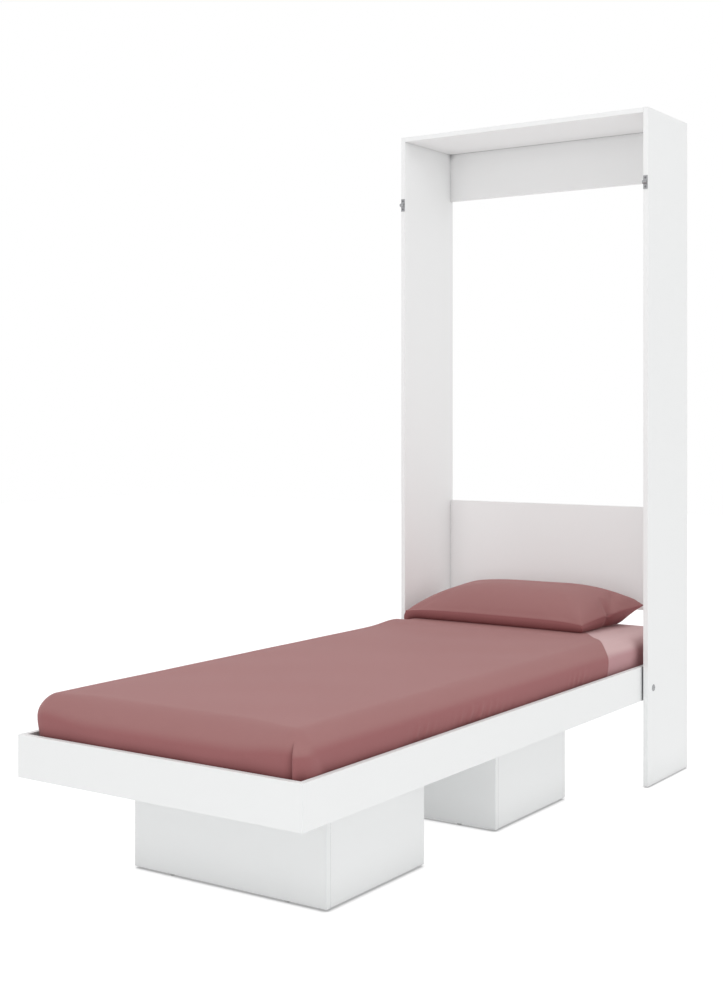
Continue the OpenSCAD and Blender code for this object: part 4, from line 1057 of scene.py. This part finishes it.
def wrapped_row(step, left):
    """Points, flat map and hem map of one row on the side or the rounded edge."""
    side = -1 if left else 1
    radius = np.full(len(columns), EDGE_R)
    hanging = step < SIDE_ROWS
    turn = QUARTER if hanging else QUARTER * (1 - (step - SIDE_ROWS) / EDGE_ROWS)
    down = step / SIDE_ROWS if hanging else 1
    for _ in range(ROUNDS):
        height = TUCK_Z + (TOP - radius - TUCK_Z) * down
        if not hanging:
            height = TOP - radius + radius * math.cos(turn)
        inset = radius * (1 - math.sin(turn))
        foot_drop = (TOP - EDGE_R - TUCK_Z) * (1 - down)
        spare = EDGE_R * (turn - math.sin(turn)) + foot_drop
        fold = max(0.0, spare * QUARTER / 2 - FOLD_STARTS)
        place, layer, cloth = column_places(fold, inset, height, left)
        point, normal = plan_at(place)
        radius = edge_radius(point, normal)
    run = (radius + CLOTH_OUT) * turn + (TOP - radius - height if hanging else 0)
    out = CLOTH_OUT + LAYER * layer + (side_folds(place, height) if hanging else 0)
    reach = radius + out
    z = height if hanging else TOP - radius + reach * math.cos(turn)
    inward = radius - reach * math.sin(turn) - bulge(z)
    spot = point - normal * inward[:, None]
    z = z + heave(side * spot[:, 0], spot[:, 1]) * (1 - turn / QUARTER)
    return (np.column_stack([spot, z]), cloth_flat(cloth, radius, run),
            np.column_stack([hem_distance, run]))


def top_row(step, left):
    """The same of one row on the top, from the rounded edge towards the middle line."""
    side = -1 if left else 1
    none = np.zeros(len(columns))
    along = (step / TOP_ROWS) ** 1.1
    edge = edge_radius(*plan_at(column_places(0.0, none, none, left)[0]))
    inset = edge + (HALF - edge) * along
    place, _, _ = column_places(0.0, inset, np.full(len(columns), TOP), left)
    point, normal = plan_at(place)
    start = point - normal * edge[:, None]
    middle_y = np.where(on_side, point[:, 1] + (HALF - CORNER_R) * (1 - share), FOOT + HALF)
    spot = start + (np.column_stack([none, middle_y]) - start) * along
    near_hem = ease(0.032, 0.0, hem_distance) * on_side
    lift = heave(side * spot[:, 0], spot[:, 1]) + HEM_RISE * near_hem
    return (np.column_stack([spot, TOP + CLOTH_OUT + lift]), spot,
            np.column_stack([hem_distance, -(HALF - edge - spot[:, 0])]))


def half_cloth(left):
    rows = [wrapped_row(step, left) for step in range(SIDE_ROWS + EDGE_ROWS)]
    rows += [top_row(step, left) for step in range(TOP_ROWS + 1)]
    return [np.array(part) for part in zip(*rows)]


right_points, right_flat, right_hem = half_cloth(False)
left_points, left_flat, left_hem = half_cloth(True)
print("half the bedspread has", len(right_points), "rows")

# %% [markdown]
# The two halves are joined at the middle line, and the cloth gets its thickness. Its cut size
# can be read off its own flat map, since the rules laid it out flat as well as in place.

# %% The bedspread itself
spread = laid_grid("bedspread_cloth", joined(right_points, left_points, (-1, 1, 1)),
                   joined(right_flat, left_flat, (-1, 1)), joined(right_hem, left_hem, (1, 1)))
weld_and_smooth(spread)
thicken(spread, CLOTH_T)
spread.data.materials.append(spread_cloth)
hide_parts("bedspread")
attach(spread, "bed")

# %% [markdown]
# ## The pillow
# A pillow is two flat panels sewn round the edge and stuffed. Stuffing is what gives it its
# shape: the seam draws in between the corners, the corners stay pointed, and small puckers run
# in from the seam. So it is made that way: two flat panels, and a cloth simulation with air
# pressure inside. The result is then set into the size and lean of the real pillow.

# %% Two panels
PANEL_W = 0.78
PANEL_D = 0.42
PANEL_CELL = 0.010
PANEL_GAP = 0.004
ACROSS = round(PANEL_W / PANEL_CELL)
DEEP = round(PANEL_D / PANEL_CELL)

bpy.ops.object.select_all(action="DESELECT")
bpy.ops.mesh.primitive_grid_add(x_subdivisions=ACROSS, y_subdivisions=DEEP, size=1)
pillow = bpy.context.object
pillow.name = "pillow_cushion"
bpy.ops.object.mode_set(mode="EDIT")
bpy.ops.mesh.select_all(action="SELECT")
bpy.ops.transform.resize(value=(PANEL_W, PANEL_D, 1))
bpy.ops.mesh.extrude_region_move(TRANSFORM_OT_translate={"value": (0, 0, PANEL_GAP)})
bpy.ops.mesh.select_all(action="SELECT")
bpy.ops.mesh.normals_make_consistent(inside=False)
bpy.ops.object.mode_set(mode="OBJECT")
flat_layer = pillow.data.uv_layers["UVMap"]
flat_layer.name = "flat"
panel_uv = np.empty(2 * len(pillow.data.loops))
flat_layer.data.foreach_get("uv", panel_uv)
panel_uv = panel_uv.reshape(-1, 2) * np.array([PANEL_W, PANEL_D])
flat_layer.data.foreach_set("uv", panel_uv.ravel())
hem_layer = pillow.data.uv_layers.new(name="hem")
hem_layer.data.foreach_set("uv", np.ones(2 * len(pillow.data.loops)))
print("two panels of", PANEL_W, "x", PANEL_D, "m")

# %% Air between them
STUFF_FRAMES = 26
CLOTH_SETTINGS = {
    "quality": 6, "mass": 0.25, "tension_stiffness": 20, "compression_stiffness": 20,
    "shear_stiffness": 8, "bending_stiffness": 0.3, "air_damping": 4, "use_pressure": True,
    "uniform_pressure_force": 6.0,
}


def points_of(mesh):
    values = np.empty(3 * len(mesh.vertices))
    mesh.vertices.foreach_get("co", values)
    return values.reshape(-1, 3)


panel = points_of(pillow.data)
swelled = panel.copy()
stuffing = pillow.modifiers.new("stuffing", "CLOTH")
for key, value in CLOTH_SETTINGS.items():
    setattr(stuffing.settings, key, value)
stuffing.settings.effector_weights.gravity = 0
stuffing.collision_settings.use_collision = False
for tick in range(1, STUFF_FRAMES + 1):
    bpy.context.scene.frame_set(tick)
bpy.ops.object.modifier_apply(modifier="stuffing")
swelled = points_of(pillow.data)
print("stuffed pillow measures", [round(float(np.ptp(swelled[:, axis])), 3) for axis in range(3)])

# %% [markdown]
# The simulation gives the puckers that no rule would give as well. They are what is left of its
# heights when an evened out copy of them is taken away.

# %% The puckers alone
def blurred(field, times):
    """A grid of values, each evened out with its neighbours this many times."""
    for _ in range(times):
        wide = np.pad(field, 1, mode="edge")
        field = (wide[1:-1, 1:-1] * 2 + wide[:-2, 1:-1] + wide[2:, 1:-1] + wide[1:-1, :-2]
                 + wide[1:-1, 2:]) / 6
    return field


column = np.rint((panel[:, 0] / PANEL_W + 0.5) * ACROSS).astype(int)
row = np.rint((panel[:, 1] / PANEL_D + 0.5) * DEEP).astype(int)
is_upper = panel[:, 2] > PANEL_GAP / 2
puckers = np.zeros(len(panel))
for face in (is_upper, ~is_upper):
    grid = np.zeros((DEEP + 1, ACROSS + 1))
    grid[row[face], column[face]] = swelled[face, 2]
    fine = grid - blurred(grid, 60)
    puckers[face] = fine[row[face], column[face]]
print("puckers", [round(float(v) * 1000, 1) for v in np.percentile(puckers, (1, 50, 99))], "mm")

# %% [markdown]
# The real pillow is wider at its back than at its front, and sits a little left of the middle, the
# front more than the back. Its seam runs higher at the back than at the front. Every point of
# the panels has a place u from the left end to the right and v from the front to the back, both
# from -1 to 1, and the rules below say how high it stands there.

# %% The real pillow's size and how full it is
PILLOW_W = 0.694
PILLOW_TAPER = 0.066
PILLOW_D = 0.294
PILLOW_H = 0.117
PILLOW_BACK_Y = HEAD - 0.008
PILLOW_SHIFT = 0.036
PILLOW_SKEW = 0.034
PILLOW_REST = TOP + 0.0030
SEAM_FRONT = 0.030
SEAM_BACK = 0.050
TIP_LIFT = 0.008
CROWN_POWER = 0.78
# powers of the right and left end, and of the front and back: a high one makes a blunt end
END_POWERS = (5.2, 2.7)
SIDE_POWERS = (2.4, 3.2)


def seam_height(u, v):
    return SEAM_FRONT + (SEAM_BACK - SEAM_FRONT) * (1 + v) / 2 + TIP_LIFT * v * np.abs(u) ** 6


def least(a, b):
    """Near the smaller of two shares, so that a corner is a full wedge and not a thin blade."""
    return a * b / np.maximum(a + b - a * b, 1e-6)


def stuffed(u, v):
    """0 at the seam and 1 in the middle, with full corners at the right end alone."""
    ends = 1 - np.abs(u) ** np.where(u > 0, *END_POWERS)
    sides = 1 - np.abs(v) ** np.where(v < 0, *SIDE_POWERS)
    full_corner = ease(-0.2, 0.4, u)
    together = ends * sides * (1 - full_corner) + least(ends, sides) * full_corner
    return np.clip(together, 0, 1) ** CROWN_POWER


u = np.sin(QUARTER * np.clip(panel[:, 0] / (PANEL_W / 2), -1, 1))
v = np.sin(QUARTER * np.clip(panel[:, 1] / (PANEL_D / 2), -1, 1))
half_width = (PILLOW_W - PILLOW_TAPER * (1 - v) / 2) / 2
upper = seam_height(u, v) + (PILLOW_H - seam_height(0, 0)) * stuffed(u, v)
print("crown", round(float(upper.max()), 4), "m above the bed")

# %% [markdown]
# The lower panel lies flat on the bed and rises to the seam only near the edge. The front drops
# from the seam in a crisp curve. Towards the back the rise is longer, since the seam is higher
# there. Under the seam the front swells out a little, as a full pillow does.

# %% The lower panel
def fall(room, crisp_width, soft_width):
    """0 at the seam and 1 from this width on: a crisp curve at the front, and towards the back
    steep first and then softly down on the bed."""
    soft = 1 - (1 - np.clip(room / soft_width, 0, 1)) ** 1.5
    return crisp * ease(0, crisp_width, room) + (1 - crisp) * soft


back = ((1 + v) / 2) ** 1.5
crisp = ease(0.5, -0.3, v)
end_room = 1 - np.abs(u)
end_fall = fall(end_room, 0.022 + 0.13 * back, 0.026 + 0.16 * back)
side_fall = fall(1 - np.abs(v), 0.040 + 0.30 * back, 0.050 + 0.34 * back)
dropped = least(end_fall, side_fall)
under = seam_height(u, v) * (1 - dropped)
swell = 0.005 * np.sin(math.pi * dropped) * (1 - back) * ~is_upper
print("lower panel", round(float(under.max()), 4), "m high at the most")

# %% [markdown]
# Three marks of handling make it a used pillow. At the right end a pucker pinches the seam, and
# its valley runs in from there over the upper panel. The left end has been dropped on the bed, so
# it sags out past its seam. And where the pillow reaches past the mattress's edge it hangs down.

# %% Pinch, valley and sag
PINCH_V = 0.08
PINCH_WIDTH = 0.10
PINCH_DEPTH = 0.010
VALLEY_LENGTH = 0.50
VALLEY_SLANT = 0.055
VALLEY_WIDTH = 0.013
VALLEY_DEPTH = 0.013
PUCKER_SHARE = 0.5
SAG_OUT = 0.019
SAG_BACK = 0.004

along_valley = np.clip((v - PINCH_V) / VALLEY_LENGTH, 0, 1)
off_valley = (half_width * (u - 1.0) + VALLEY_SLANT * along_valley) / VALLEY_WIDTH
valley = np.exp(-off_valley ** 2) * ease(-0.14, 0.08, v) * ease(0.72, 0.40, v)
pinch = np.exp(-((v - PINCH_V) / PINCH_WIDTH) ** 2) * ease(0.80, 1.0, u)
inside = ease(0.0, 0.06, 1 - np.maximum(np.abs(u), np.abs(v)))
upper = upper + inside * PUCKER_SHARE * puckers - VALLEY_DEPTH * valley
sag = dropped * ease(0.30, 0.02, end_room) * (u < 0) * ease(0.6, -0.6, v) * ~is_upper
print("sag reaches", round(1000 * SAG_OUT * float(sag.max()), 1), "mm out")

# %% Set down on the bed
DRAWN_IN = 0.05
MOST_PAST_EDGE = 0.030
HALF_SEAM = 0.0008

across_bed = (-PILLOW_SHIFT - PILLOW_SKEW * (1 - v) / 2
              + half_width * u * (1 - DRAWN_IN * (1 - v * v))
              + swell * u ** 15 - PINCH_DEPTH * pinch - SAG_OUT * sag)
along_bed = (PILLOW_BACK_Y - PILLOW_D / 2 + PILLOW_D / 2 * v * (1 - DRAWN_IN * (1 - u * u))
             + swell * v ** 15 + SAG_BACK * sag)
past_edge = np.clip(np.abs(across_bed) - HALF + EDGE_R, 0, MOST_PAST_EDGE)
hang = (EDGE_R - np.sqrt(EDGE_R ** 2 - past_edge ** 2)) * dropped
above_bed = np.where(is_upper, upper + HALF_SEAM, np.maximum(under - HALF_SEAM, 0) - hang)
set_down = np.column_stack([across_bed, along_bed, PILLOW_REST + above_bed])
pillow.data.vertices.foreach_set("co", set_down.ravel())
pillow.data.update()
print("pillow top at", round(float(set_down[:, 2].max()), 4))

# %% [markdown]
# The mesh is made finer once, which rounds the cells, and gets the bedspread's cloth.

# %% The pillow itself
finer = pillow.modifiers.new("finer", "SUBSURF")
finer.levels = 1
finer.render_levels = 1
bpy.ops.object.modifier_apply(modifier="finer")
bpy.ops.object.shade_smooth()
pillow.data.materials.append(spread_cloth)
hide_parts("pillow")
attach(pillow, "bed")
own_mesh(pillow)
print("pillow", len(pillow.data.polygons), "faces")
